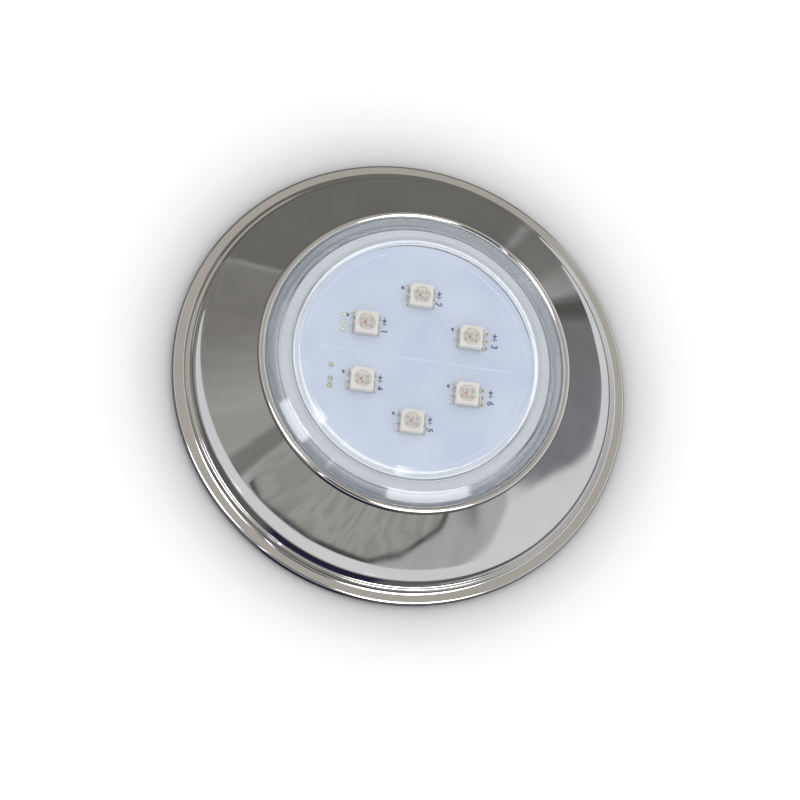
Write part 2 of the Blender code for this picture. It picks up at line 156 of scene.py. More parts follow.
def shade(piece, sharp_deg=SHARP_DEG):
    piece.data.shade_smooth()
    piece.data.set_sharp_from_angle(angle=math.radians(sharp_deg))
    return piece


def smooth_piece(name, shape, finish):
    return shade(new_piece(name, mesh_of(shape, name), finish))


def turned_mesh(name, section, steps=ROUND_STEPS, centre=(0.0, 0.0)):
    """A closed surface of revolution. The section is a closed loop, or starts and ends on the axis."""
    open_ends = section[0][0] < 1e-6 and section[-1][0] < 1e-6
    section = supported(section, closed=not open_ends)
    points, rings = [], []
    for r, z in section:
        if r < 1e-6:
            rings.append([len(points)] * steps)
            points.append((centre[0] * MM, centre[1] * MM, z * MM))
            continue
        rings.append(list(range(len(points), len(points) + steps)))
        for k in range(steps):
            x, y = polar(r, 360.0 * k / steps)
            points.append(((centre[0] + x) * MM, (centre[1] + y) * MM, z * MM))
    faces = []
    last = len(rings) - 1 if open_ends else len(rings)
    for i in range(last):
        a, b = rings[i], rings[(i + 1) % len(rings)]
        for k in range(steps):
            n = (k + 1) % steps
            loop = [a[k], b[k], b[n], a[n]]
            faces.append([v for j, v in enumerate(loop) if v not in loop[:j]])
    mesh = bpy.data.meshes.new(name)
    mesh.from_pydata(points, [], faces)
    shape = bmesh.new()
    shape.from_mesh(mesh)
    bmesh.ops.recalc_face_normals(shape, faces=shape.faces)
    shape.to_mesh(mesh)
    shape.free()
    return mesh


def turned(name, section, finish, steps=ROUND_STEPS, centre=(0.0, 0.0)):
    return shade(new_piece(name, turned_mesh(name, section, steps, centre), finish))


def ring(name, inner, outer, low, high, edge, finish, steps=ROUND_STEPS):
    corners = [(outer, high), (outer, low), (inner, low), (inner, high)]
    return turned(name, rounded(corners, edge), finish, steps)


def prism_shape(shape, outline, low, high, edge=0.0, segments=3):
    """Adds an upright prism over an (x, y) outline to an open bmesh, its edges rounded."""
    foot = shape.faces.new([shape.verts.new((x * MM, y * MM, low * MM)) for x, y in outline])
    raised = bmesh.ops.extrude_face_region(shape, geom=[foot])["geom"]
    moved = [v for v in raised if isinstance(v, bmesh.types.BMVert)]
    bmesh.ops.translate(shape, vec=Vector((0.0, 0.0, (high - low) * MM)), verts=moved)
    body = {foot} | {f for v in moved for f in v.link_faces}
    bmesh.ops.recalc_face_normals(shape, faces=list(body))
    if edge:
        bmesh.ops.bevel(
            shape, geom=list({e for f in body for e in f.edges}), offset=edge * MM, segments=segments,
            profile=0.5, affect="EDGES", clamp_overlap=True,
        )


def prism(name, outline, low, high, finish, edge=0.0, segments=3):
    shape = bmesh.new()
    prism_shape(shape, outline, low, high, edge, segments)
    return smooth_piece(name, shape, finish)


def rectangle(x, y, wide, deep):
    return [(x - wide / 2, y - deep / 2), (x + wide / 2, y - deep / 2), (x + wide / 2, y + deep / 2),
            (x - wide / 2, y + deep / 2)]


def circle(radius, centre=(0.0, 0.0), points=SMALL_STEPS, turn_deg=0.0):
    turns = [polar(radius, turn_deg + 360.0 * i / points) for i in range(points)]
    return [(centre[0] + x, centre[1] + y) for x, y in turns]


def hexagon(flats, turn_deg=0.0):
    return circle(flats / 2.0 / math.cos(math.radians(30.0)), points=6, turn_deg=turn_deg)


def sector(inner, outer, start_deg, end_deg, step_deg=1.5):
    count = max(1, math.ceil((end_deg - start_deg) / step_deg))
    turns = [start_deg + (end_deg - start_deg) * i / count for i in range(count + 1)]
    return [polar(outer, a) for a in turns] + [polar(inner, a) for a in reversed(turns)]


def carve(target, tools, operation="DIFFERENCE"):
    """Cuts or joins target with tools, whose own objects then go."""
    finish = target.data.materials[0]
    for tool in tools:
        step = target.modifiers.new(tool.name, "BOOLEAN")
        step.operation = operation
        step.solver = "EXACT"
        step.object = tool
    bpy.context.view_layer.update()
    ready = target.evaluated_get(bpy.context.evaluated_depsgraph_get())
    mesh = bpy.data.meshes.new_from_object(ready)
    target.modifiers.clear()
    target.data = mesh
    mesh.materials.clear()
    mesh.materials.append(finish)
    for polygon in mesh.polygons:
        polygon.material_index = 0
    for tool in tools:
        bpy.data.objects.remove(tool)
    return shade(target)


def stand_for(piece, body, slot, *nodes):
    """Puts a finished piece on its body in place of the nodes it stands for; the slot is not used."""
    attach(piece, body)
    if nodes:
        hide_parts(*nodes)
    return piece


# --- material helpers ------------------------------------------------------------------------

def new_finish(name, colour, roughness, metallic=0.0):
    made = bpy.data.materials.new(name)
    made.use_nodes = True
    shader = made.node_tree.nodes["Principled BSDF"]
    shader.inputs["Base Color"].default_value = (*colour, 1.0)
    shader.inputs["Roughness"].default_value = roughness
    shader.inputs["Metallic"].default_value = metallic
    return made, made.node_tree, shader


def add_node(tree, kind, **settings):
    """A node with the given properties; a setting named after an input sets that input."""
    made = tree.nodes.new(kind)
    for key, value in settings.items():
        label = key.replace("_", " ")
        if label in made.inputs and not hasattr(made, key):
            made.inputs[label].default_value = value
        else:
            setattr(made, key, value)
    return made


def place(tree, stretch=(1.0, 1.0, 1.0)):
    """Object-space coordinates, stretched."""
    where = add_node(tree, "ShaderNodeTexCoord")
    scaled = add_node(tree, "ShaderNodeMapping")
    scaled.inputs["Scale"].default_value = stretch
    tree.links.new(where.outputs["Object"], scaled.inputs["Vector"])
    return scaled.outputs["Vector"]


def noise(tree, scale, detail=3.0, rough=0.5, stretch=(1.0, 1.0, 1.0)):
    made = add_node(tree, "ShaderNodeTexNoise", Scale=scale, Detail=detail, Roughness=rough)
    tree.links.new(place(tree, stretch), made.inputs["Vector"])
    return made.outputs["Fac"]


def ramp(tree, value, stops):
    made = add_node(tree, "ShaderNodeValToRGB")
    marks = made.color_ramp.elements
    while len(marks) < len(stops):
        marks.new(0.5)
    for mark, (position, colour) in zip(marks, stops):
        mark.position = position
        mark.color = (*colour, 1.0)
    tree.links.new(value, made.inputs["Fac"])
    return made.outputs["Color"]


def calc(tree, operation, first, second=0.0, third=0.0, clamp=False):
    made = add_node(tree, "ShaderNodeMath", operation=operation, use_clamp=clamp)
    for slot, value in zip(made.inputs, (first, second, third)):
        if isinstance(value, (int, float)):
            slot.default_value = value
        else:
            tree.links.new(value, slot)
    return made.outputs["Value"]


def band(tree, value, low, high, to_low=0.0, to_high=1.0, kind="LINEAR"):
    made = add_node(tree, "ShaderNodeMapRange", interpolation_type=kind)
    for slot, number in zip(("From Min", "From Max", "To Min", "To Max"), (low, high, to_low, to_high)):
        made.inputs[slot].default_value = number
    tree.links.new(value, made.inputs["Value"])
    return made.outputs["Result"]


def blend_colour(tree, share, first, second):
    made = add_node(tree, "ShaderNodeMix", data_type="RGBA")
    for slot, value in ((made.inputs[0], share), (made.inputs[6], first), (made.inputs[7], second)):
        if isinstance(value, (int, float)):
            slot.default_value = value
        elif isinstance(value, tuple):
            slot.default_value = (*value, 1.0)
        else:
            tree.links.new(value, slot)
    return made.outputs[2]


def bump(tree, shader, height, distance, strength=1.0):
    made = add_node(tree, "ShaderNodeBump", Strength=strength, Distance=distance)
    tree.links.new(height, made.inputs["Height"])
    tree.links.new(made.outputs["Normal"], shader.inputs["Normal"])
    return made


# --- materials -------------------------------------------------------------------------------

def polished_steel():
    """Mirror-polished stainless sheet: faint drawn waves, wiped smudges and hairline scratches."""
    made, tree, shader = new_finish("polished_steel", (0.78, 0.77, 0.75), 0.04, 1.0)
    smudge = noise(tree, 55.0, 4.0, 0.6)
    hair = noise(tree, 900.0, 2.0, 0.5, (1.0, 0.06, 1.0))
    rough = calc(tree, "MULTIPLY_ADD", hair, 0.02, band(tree, smudge, 0.4, 0.75, 0.025, 0.075))
    tree.links.new(rough, shader.inputs["Roughness"])
    tint = ramp(tree, smudge, [(0.3, (0.80, 0.79, 0.77)), (0.75, (0.74, 0.73, 0.715))])
    tree.links.new(tint, shader.inputs["Base Color"])
    wave = noise(tree, 38.0, 1.0, 0.4)
    height = calc(tree, "MULTIPLY_ADD", hair, 0.004, wave)
    bump(tree, shader, height, 0.12 * MM, 0.5)
    return made


def rolled_steel(name, colour, roughness, grain=(1.0, 0.05, 1.0)):
    """Plain rolled or machined steel with a fine grain."""
    made, tree, shader = new_finish(name, colour, roughness, 1.0)
    lines = noise(tree, 4000.0, 3.0, 0.6, grain)
    tree.links.new(band(tree, lines, 0.3, 0.7, roughness * 0.75, roughness * 1.3), shader.inputs["Roughness"])
    dark = tuple(c * 0.82 for c in colour)
    tone = ramp(tree, noise(tree, 400.0, 4.0), [(0.3, dark), (0.65, colour)])
    tree.links.new(tone, shader.inputs["Base Color"])
    bump(tree, shader, lines, 0.01 * MM, 0.6)
    return made


def moulded(name, colour, roughness, grain_scale, grain_depth, shift=0.06, coat=0.0):
    """Injection-moulded plastic: fine mould grain, faint flow marks and slight colour variation."""
    made, tree, shader = new_finish(name, colour, roughness)
    flow = noise(tree, 60.0, 4.0, 0.55)
    dark = tuple(c * (1.0 - shift) for c in colour)
    light = tuple(min(1.0, c * (1.0 + shift * 0.6)) for c in colour)
    tree.links.new(ramp(tree, flow, [(0.3, dark), (0.7, light)]), shader.inputs["Base Color"])
    tree.links.new(band(tree, flow, 0.3, 0.7, roughness * 0.85, roughness * 1.15), shader.inputs["Roughness"])
    grain = noise(tree, grain_scale, 2.0, 0.5)
    bump(tree, shader, grain, grain_depth * MM, 0.6)
    shader.inputs["Coat Weight"].default_value = coat
    return made


def rubber(name, colour):
    """Matt rubber with a slightly chalky bloom."""
    made, tree, shader = new_finish(name, colour, 0.65)
    bloom = noise(tree, 300.0, 5.0, 0.6)
    light = tuple(c * 2.2 + 0.01 for c in colour)
    tree.links.new(ramp(tree, bloom, [(0.45, colour), (0.8, light)]), shader.inputs["Base Color"])
    tree.links.new(band(tree, bloom, 0.3, 0.7, 0.55, 0.8), shader.inputs["Roughness"])
    bump(tree, shader, noise(tree, 2500.0, 3.0), 0.02 * MM, 0.5)
    return made


# Radii or heights, in millimetres, between which the matt parts of the lens fade out.
POCKET_SIDE = (26.1, 26.3)
POCKET_CEILING = (19.2, 19.28)
SKIRT_INSIDE = (30.8, 31.2)
SKIRT_FOOT = (12.2, 12.4)
SKIRT_TOP = (17.1, 17.4)


def fade(tree, value, ends, start=1.0):
    low, high = ends
    return band(tree, value, low * MM, high * MM, start, 0.0)


def unpolished(tree):
    """How matt the mould leaves the lens: the side of its pocket, and the inside and foot of its skirt."""
    split = add_node(tree, "ShaderNodeSeparateXYZ")
    tree.links.new(place(tree), split.inputs["Vector"])
    x, y, z = (split.outputs[i] for i in range(3))
    radius = calc(tree, "SQRT", calc(tree, "MULTIPLY_ADD", x, x, calc(tree, "MULTIPLY", y, y)))
    side = fade(tree, radius, POCKET_SIDE, POCKET_MATT)
    pocket = calc(tree, "MULTIPLY", side, fade(tree, z, POCKET_CEILING))
    uneven = band(tree, noise(tree, 2500.0, 3.0, 0.6), 0.35, 0.65, SKIRT_MATT * 0.92, SKIRT_MATT * 1.08)
    within = fade(tree, radius, SKIRT_INSIDE)
    foot = fade(tree, z, SKIRT_FOOT)
    below = fade(tree, z, SKIRT_TOP)
    skirt = calc(tree, "MULTIPLY", uneven, calc(tree, "MULTIPLY", below, calc(tree, "MAXIMUM", within, foot)))
    return calc(tree, "MAXIMUM", pocket, skirt)


def clear_plastic(name, colour, ior, roughness):
    """Clear plastic that also lets lamps through, so that what is behind it is lit."""
    made, tree, shader = new_finish(name, colour, roughness)
    shader.inputs["Transmission Weight"].default_value = 1.0
    shader.inputs["IOR"].default_value = ior
    bump(tree, shader, noise(tree, 45.0, 1.5, 0.4), 0.02 * MM, 0.35)
    path = add_node(tree, "ShaderNodeLightPath")
    through = add_node(tree, "ShaderNodeBsdfTransparent")
    through.inputs["Color"].default_value = (*colour, 1.0)
    either = calc(tree, "MAXIMUM", path.outputs["Is Shadow Ray"], path.outputs["Is Diffuse Ray"])
    mixed = add_node(tree, "ShaderNodeMixShader")
    tree.links.new(either, mixed.inputs["Fac"])
    tree.links.new(shader.outputs["BSDF"], mixed.inputs[1])
    tree.links.new(through.outputs["BSDF"], mixed.inputs[2])
    tree.links.new(mixed.outputs["Shader"], tree.nodes["Material Output"].inputs["Surface"])
    return made


def solder_mask():
    """Pale blue-white mask over glass weave; the faintly raised copper under it is a piece of its own."""
    made, tree, shader = new_finish("solder_mask", (0.53, 0.58, 0.68), 0.32)
    cloud = noise(tree, 90.0, 4.0, 0.55)
    mottle = ramp(tree, cloud, [(0.3, (0.505, 0.54, 0.62)), (0.7, (0.605, 0.621, 0.68))])
    tree.links.new(mottle, shader.inputs["Base Color"])
    weave = add_node(tree, "ShaderNodeTexWave", Scale=500.0, Distortion=1.5, Detail=1.0)
    tree.links.new(place(tree), weave.inputs["Vector"])
    bump(tree, shader, weave.outputs["Fac"], 0.006 * MM, 0.4)
    return made


def tinned(name, colour, roughness):
    """Tin, solder or plated metal, slightly uneven."""
    made, tree, shader = new_finish(name, colour, roughness, 1.0)
    patch = noise(tree, 1500.0, 4.0, 0.6)
    dark = tuple(c * 0.7 for c in colour)
    tree.links.new(ramp(tree, patch, [(0.35, dark), (0.65, colour)]), shader.inputs["Base Color"])
    tree.links.new(band(tree, patch, 0.3, 0.7, roughness * 0.7, roughness * 1.4), shader.inputs["Roughness"])
    bump(tree, shader, patch, 0.02 * MM, 0.5)
    return made


def ink(name, colour):
    """Printed or sawn opaque matter, slightly broken up."""
    made, tree, shader = new_finish(name, colour, 0.5)
    specks = noise(tree, 6000.0, 2.0, 0.6)
    light = tuple(min(1.0, c * 1.25 + 0.02) for c in colour)
    tree.links.new(ramp(tree, specks, [(0.5, colour), (0.8, light)]), shader.inputs["Base Color"])
    return made


STEEL = polished_steel()
SPRING = rolled_steel("spring_steel", (0.60, 0.60, 0.59), 0.24)
SCREW = rolled_steel("screw_steel", (0.66, 0.66, 0.65), 0.20, (1.0, 1.0, 1.0))
GREY = moulded("grey_abs", (0.70, 0.71, 0.72), 0.48, 1800.0, 0.05)
WHITE = moulded("white_abs", (0.55, 0.54, 0.525), 0.34, 1200.0, 0.015)
NYLON = moulded("black_nylon", (0.035, 0.035, 0.04), 0.42, 1500.0, 0.03, 0.2)
COMPONENT = moulded("component_black", (0.03, 0.03, 0.03), 0.45, 3500.0, 0.03, 0.2)
RUBBER = rubber("black_rubber", (0.022, 0.022, 0.022))
CLEAR = clear_plastic("clear_polycarbonate", (0.93, 0.955, 0.985), 1.585, 0.015)
clear_share = calc(CLEAR.node_tree, "SUBTRACT", 1.0, unpolished(CLEAR.node_tree))
CLEAR.node_tree.links.new(clear_share, CLEAR.node_tree.nodes["Principled BSDF"].inputs["Transmission Weight"])
RESIN = clear_plastic("led_resin", (0.985, 0.975, 0.955), 1.15, 0.08)
MASK = solder_mask()
CREAM = moulded("led_housing", (0.74, 0.665, 0.575), 0.4, 2500.0, 0.01)
TIN = tinned("tin_plate", (0.62, 0.61, 0.58), 0.28)
GOLD = tinned("gold_plate", (0.66, 0.64, 0.44), 0.4)
ALUMINIUM = rolled_steel("aluminium_can", (0.75, 0.75, 0.76), 0.28, (1.0, 1.0, 0.05))
NAVY = ink("navy_print", (0.05, 0.07, 0.16))
WHITE_INK = ink("white_print", (0.72, 0.77, 0.84))
TRACE = ink("covered_copper", (0.57, 0.60, 0.67))
RED_DIE = ink("red_die", (0.55, 0.09, 0.10))
GREEN_DIE = ink("green_die", (0.52, 0.60, 0.48))
BLUE_DIE = ink("blue_die", (0.42, 0.45, 0.52))
FRAME_GREY = ink("lead_frame_print", (0.47, 0.43, 0.39))


# --- trim ------------------------------------------------------------------------------------

TRIM_SHEET = 0.8
FLANK_SLOPES = (45.5, 42.0, 35.5, 71.6)  # at the bead, before the flare, above and below the shoulder
FLANK_ROUNDS = (213.0, 22.0, -2.0)  # section radii of the flank's hollow, its flare and its shoulder
TRIM_CORNERS = (  # radius, height and rounding, down the outside from the upper step
    (46.6, 3.5, 0.25),  # foot of the upper step
    (47.25, 3.35, 0.25),  # top of the lower step
    (47.55, 2.3, 1.0),  # foot of the lower step
    (50.0, 1.95, 1.4),  # outer edge of the flange
)
BEAD_CENTRE = (33.45, 16.5)
BEAD_ROUND = 0.9
BEAD_FLANK_DEG = -35.0  # where the bead meets the flank, from the outward direction
BEAD_RETURN_DEG = (-105.0, -172.0)  # the bead's underside, back to the mouth
INSIDE_ROUND = 0.3
MIRROR_STEP_DEG = 4.0  # the mirror and the lens have finer facets than the rest
MIRROR_STEPS = 384


def inset(outline, distance):
    """The open outline moved sideways by distance, to the right of its direction."""
    moved = []
    last = len(outline) - 1
    for i, point in enumerate(outline):
        first, second = max(i, 1), min(i + 1, last)
        back = Vector(outline[first]) - Vector(outline[first - 1])
        ahead = Vector(outline[second]) - Vector(outline[second - 1])
        sides = [Vector((run.y, -run.x)).normalized() for run in (back, ahead)]
        middle = (sides[0] + sides[1]).normalized()
        moved.append(tuple(Vector(point) + middle * (distance / middle.dot(sides[0]))))
    return moved


def make_trim():
    """The drawn bell: bead round the mouth, hollow flank that flares out, two steps and the flange."""
    outer, foot_z, _ = span("trim_shell")
    bead = arc(BEAD_CENTRE, BEAD_ROUND, 180.0, BEAD_FLANK_DEG, MIRROR_STEP_DEG)
    hem = TRIM_SHEET / 2.0
    skirt = (outer, foot_z + hem)
    flank = [bead[-1]]
    bends = [bead[-1]]
    for size, start, end in zip(FLANK_ROUNDS, FLANK_SLOPES, FLANK_SLOPES[1:]):
        lean = math.radians(270.0 - start)
        centre = (flank[-1][0] - size * math.cos(lean), flank[-1][1] - size * math.sin(lean))
        flank += arc(centre, size, 270.0 - start, 270.0 - end, 1.0)[1:]
        bends.append(flank[-1])
    steps = [bends[-1]] + list(TRIM_CORNERS) + [skirt]
    section = bead[:-1] + flank[:-1] + rounded(steps, 0.0, closed=False, step_deg=MIRROR_STEP_DEG)[:-1]
    section += arc((outer - hem, foot_z + hem), hem, 0.0, -180.0, 12.0)
    inside = inset([corner[:2] for corner in bends[:-1] + steps], TRIM_SHEET)
    inside.reverse()
    section += rounded(inside, INSIDE_ROUND, closed=False)[1:]
    section += arc(BEAD_CENTRE, BEAD_ROUND, *BEAD_RETURN_DEG, MIRROR_STEP_DEG)
    stand_for(turned("trim_bell", section, STEEL, MIRROR_STEPS), "trim", "polished_steel", "trim_shell")


# --- wall base, clips and screws -------------------------------------------------------------

BASE_PLATE = 3.0
BASE_HOLE_RADIUS = 14.0
SOCKET_INNER = 31.9
SOCKET_OUTER = 35.0
SOCKET_TAB_INNER = 30.0
SOCKET_TAB_LOW = 8.7
THIRDS = (0.0, 120.0, 240.0)
LUG_HALF_DEG = 12.0
UNLOCK_DEG = 25.0
ENTRY_HALF_DEG = 13.5
STOP_DEG = 3.0
STOP_GAP_DEG = 1.0
WALL_SCREW_CIRCLE = 38.8
WALL_SCREW_HOLE = 2.2
CLIP_SCREW_CIRCLE = 39.2
CLIP_SCREW_SHANK = 1.2
CLIP_WIDTH = 9.0
CLIP_SHEET = 0.4
CLIP_FLAT_END = 40.0  # the leaf is flat this far out
CLIP_PATH = ((35.9, 3.5), (43.6, 3.5), (45.4, 1.4), (46.5, 0.75), (48.6, 0.75))
FIT = 0.3  # gap kept between neighbouring pieces


def make_wall_base():
    outer, low, top = span("wall_base")
    corners = [
        (SOCKET_OUTER, top), (SOCKET_OUTER, BASE_PLATE), (outer, BASE_PLATE), (outer, low),
        (BASE_HOLE_RADIUS, low), (BASE_HOLE_RADIUS, BASE_PLATE), (SOCKET_INNER, BASE_PLATE),
        (SOCKET_INNER, SOCKET_TAB_LOW), (SOCKET_TAB_INNER, SOCKET_TAB_LOW), (SOCKET_TAB_INNER, top),
    ]
    base = turned("base_moulding", rounded(corners, 0.3), GREY)
    cuts, stops = [], []
    for at in THIRDS:
        entry = at + UNLOCK_DEG
        outline = sector(SOCKET_TAB_INNER - 1.0, SOCKET_INNER, entry - ENTRY_HALF_DEG, entry + ENTRY_HALF_DEG)
        cuts.append(prism(f"entry_{at:.0f}", outline, SOCKET_TAB_LOW - 0.5, top + 1.0, GREY))
        for start in (at - LUG_HALF_DEG - STOP_GAP_DEG - STOP_DEG, entry + LUG_HALF_DEG + STOP_GAP_DEG):
            outline = sector(SOCKET_TAB_INNER, SOCKET_INNER + 1.0, start, start + STOP_DEG)
            stops.append(prism(f"stop_{start:.0f}", outline, BASE_PLATE - 0.5, SOCKET_TAB_LOW + 0.5, GREY))
        hole = polar(WALL_SCREW_CIRCLE, at + 60.0)
        sink = [(0.0, BASE_PLATE + 0.2), (WALL_SCREW_HOLE + 1.5, BASE_PLATE + 0.2), (WALL_SCREW_HOLE, 1.6),
                (WALL_SCREW_HOLE, low - 1.0), (0.0, low - 1.0)]
        cuts.append(turned(f"wall_screw_{at:.0f}", sink, GREY, SMALL_STEPS // 2, hole))
        pilot = circle(CLIP_SCREW_SHANK + FIT, polar(CLIP_SCREW_CIRCLE, at), SMALL_STEPS // 2)
        cuts.append(prism(f"pilot_{at:.0f}", pilot, 0.5, BASE_PLATE + 1.0, GREY))
    carve(base, stops, "UNION")
    carve(base, cuts)
    stand_for(base, "wall_mount", "grey_plastic", "wall_base")
    inner_gasket = 20.0
    outer, low, top = span("seat_gasket")
    gasket = ring("gasket_ring", inner_gasket, outer, low, top, 0.12, RUBBER)
    stand_for(gasket, "wall_mount", "black_rubber", "seat_gasket")


def make_clip(number, at):
    """A leaf of spring steel, bent over smooth radii, with a hole for its screw."""
    path = rounded(CLIP_PATH, 1.2, closed=False, step_deg=6.0)
    half = CLIP_WIDTH / 2.0
    shape = bmesh.new()
    edge = [shape.verts.new((r * MM, -half * MM, z * MM)) for r, z in path]
    run = [shape.edges.new(pair) for pair in zip(edge, edge[1:])]
    raised = bmesh.ops.extrude_edge_only(shape, edges=run)["geom"]
    moved = [v for v in raised if isinstance(v, bmesh.types.BMVert)]
    bmesh.ops.translate(shape, vec=Vector((0.0, CLIP_WIDTH * MM, 0.0)), verts=moved)
    bmesh.ops.recalc_face_normals(shape, faces=shape.faces)
    bmesh.ops.solidify(shape, geom=shape.faces[:], thickness=CLIP_SHEET * MM)
    bmesh.ops.recalc_face_normals(shape, faces=shape.faces)
    levels = [v.co.z for v in shape.verts if v.co.x < CLIP_FLAT_END * MM]
    up = sum(levels, 0.0) / len(levels)
    bmesh.ops.translate(shape, vec=Vector((0.0, 0.0, CLIP_PATH[0][1] * MM - up)), verts=shape.verts)
    sharp = [e for e in shape.edges if len(e.link_faces) == 2 and e.calc_face_angle(0.0) > math.radians(60.0)]
    bmesh.ops.bevel(shape, geom=sharp, offset=0.08 * MM, segments=2, profile=0.5, affect="EDGES")
    turned_by = Matrix.Rotation(math.radians(at), 3, "Z")
    bmesh.ops.rotate(shape, cent=Vector(), matrix=turned_by, verts=shape.verts)
    mesh = mesh_of(shape, f"clip_leaf_{number}")
    leaf = new_piece(f"clip_leaf_{number}", mesh, SPRING)
    outline = circle(CLIP_SCREW_SHANK + FIT, polar(CLIP_SCREW_CIRCLE, at), SMALL_STEPS // 2)
    carve(leaf, [prism(f"clip_hole_{number}", outline, 2.0, 5.0, SPRING)])
    stand_for(leaf, "wall_mount", "spring_steel", f"trim_clip_{number}")


def make_clip_screw(number, at):
    """Pan-head screw with a cross recess and a threaded shank."""
    low, high = heights(f"clip_screw_{number}")
    head_low, head = high - 1.5, 2.6
    thread, pitch = [], 0.6
    z = head_low
    while z - pitch > low + 0.4:
        thread += [(CLIP_SCREW_SHANK, z - 0.1), (CLIP_SCREW_SHANK - 0.22, z - pitch / 2.0)]
        z -= pitch
    section = arc((head - 0.9, high - 0.9), 0.9, 90.0, 0.0, 9.0)
    section = [(0.0, high)] + section + [(head, head_low + 0.1), (head - 0.1, head_low)] + thread
    section += [(CLIP_SCREW_SHANK - 0.2, low + 0.4), (0.0, low)]
    centre = polar(CLIP_SCREW_CIRCLE, at)
    screw = turned(f"pan_screw_{number}", section, SCREW, SMALL_STEPS // 2, centre)
    arm, reach = 0.35, 1.5
    cross = [
        prism(f"recess_{number}_{label}", rectangle(*centre, wide, deep), high - 0.7, high + 1.0, SCREW)
        for label, wide, deep in (("a", 2 * arm, 2 * reach), ("b", 2 * reach, 2 * arm))
    ]
    carve(screw, cross)
    stand_for(screw, "wall_mount", "screw_steel", f"clip_screw_{number}")


# --- lamp capsule ----------------------------------------------------------------------------

BODY_INNER = 26.0
BODY_LEDGE_INNER = 23.4
BODY_LEDGE_Z = 15.35
BODY_SKIRT_INNER = 26.6
BODY_WALL_Z = 9.1
BODY_FLOOR_Z = 11.0
BODY_RADIUS = 29.6
LUG_RADIUS = 31.4
LUG_LOW = 6.2
LUG_HIGH = 8.3
RING_GROOVE_RADIUS = 28.3
RING_GROOVE_LOW = 13.6
RING_GROOVE_HIGH = 15.4
SEAL_RING_RADIUS = 29.05
SEAL_RING_ROUND = 0.6
GLAND_HOLE_RADIUS = 6.2

LENS_SKIRT_INNER = 29.95
LENS_SHOULDER_Z = 17.4
LENS_FLAT_RADIUS = 29.9
LENS_FLAT_Z = 18.8
LENS_STEP_RADIUS = 27.6
BEVEL_FOOT = (27.0, 19.55)
WINDOW_RADIUS = 25.25
WINDOW_Z = 20.8
LENS_INNER_Z = 19.3
LENS_RIM_INNER_Z = 17.5
LENS_POCKET_RADIUS = 26.0
LENS_POCKET_DRAFT = 0.6


def make_lamp_body():
    """White cup with the bayonet's three lugs, the O-ring's groove and the ledge that the board sits on."""
    low, top = heights("lamp_body")
    corners = [
        (BODY_RADIUS, top, 0.45),
        (BODY_RADIUS, RING_GROOVE_HIGH, 0.1), (RING_GROOVE_RADIUS, RING_GROOVE_HIGH, 0.3),
        (RING_GROOVE_RADIUS, RING_GROOVE_LOW, 0.3), (BODY_RADIUS, RING_GROOVE_LOW, 0.1), (BODY_RADIUS, low),
        (BODY_SKIRT_INNER, low), (BODY_SKIRT_INNER, BODY_WALL_Z), (GLAND_HOLE_RADIUS, BODY_WALL_Z),
        (GLAND_HOLE_RADIUS, BODY_FLOOR_Z), (BODY_LEDGE_INNER, BODY_FLOOR_Z), (BODY_LEDGE_INNER, BODY_LEDGE_Z),
        (BODY_INNER, BODY_LEDGE_Z), (BODY_INNER, top, 0.3),
    ]
    cup = turned("lamp_cup", rounded(corners, 0.25), WHITE)
    lugs = []
    for at in THIRDS:
        outline = sector(BODY_RADIUS - 1.0, LUG_RADIUS, at - LUG_HALF_DEG, at + LUG_HALF_DEG)
        lugs.append(prism(f"lug_{at:.0f}", outline, LUG_LOW, LUG_HIGH, WHITE))
    carve(cup, lugs, "UNION")
    stand_for(cup, "capsule", "white_plastic", "lamp_body")


def make_lens():
    """Clear moulded cap: sloping shoulder, flat ring, bevel and slightly crowned window."""
    skirt, low, crown = span("lens")
    sag = crown - WINDOW_Z
    ball = (WINDOW_RADIUS ** 2 + sag ** 2) / (2.0 * sag)
    edge_deg = math.degrees(math.asin(WINDOW_RADIUS / ball))
    window = arc((0.0, crown - ball), ball, 90.0, 90.0 - edge_deg, edge_deg / 24.0)
    outside = [
        window[-1], (*BEVEL_FOOT, 0.15),
        (LENS_STEP_RADIUS, LENS_FLAT_Z + 0.1, 0.12), (LENS_FLAT_RADIUS, LENS_FLAT_Z, 0.35),
        (skirt, LENS_SHOULDER_Z, 0.5), (skirt, low, 0.2), (LENS_SKIRT_INNER, low, 0.2),
        (LENS_SKIRT_INNER, LENS_RIM_INNER_Z, 0.25), (LENS_POCKET_RADIUS, LENS_RIM_INNER_Z, 0.15),
        (LENS_POCKET_RADIUS - LENS_POCKET_DRAFT, LENS_INNER_Z, 0.2), (0.0, LENS_INNER_Z),
    ]
    window[0] = (0.0, crown)
    section = window[:-1] + rounded(outside, 0.2, closed=False)
    stand_for(turned("lens_cap", section, CLEAR, MIRROR_STEPS), "capsule", "clear_lens", "lens")


def make_seal_ring():
    middle = (SEAL_RING_RADIUS, (RING_GROOVE_LOW + RING_GROOVE_HIGH) / 2.0)
    section = arc(middle, SEAL_RING_ROUND, 90.0, -255.0, 15.0)
    seal = turned("seal_ring", section, RUBBER)
    stand_for(seal, "capsule", "black_rubber", "lens_seal_ring")


# --- LED board -------------------------------------------------------------------------------

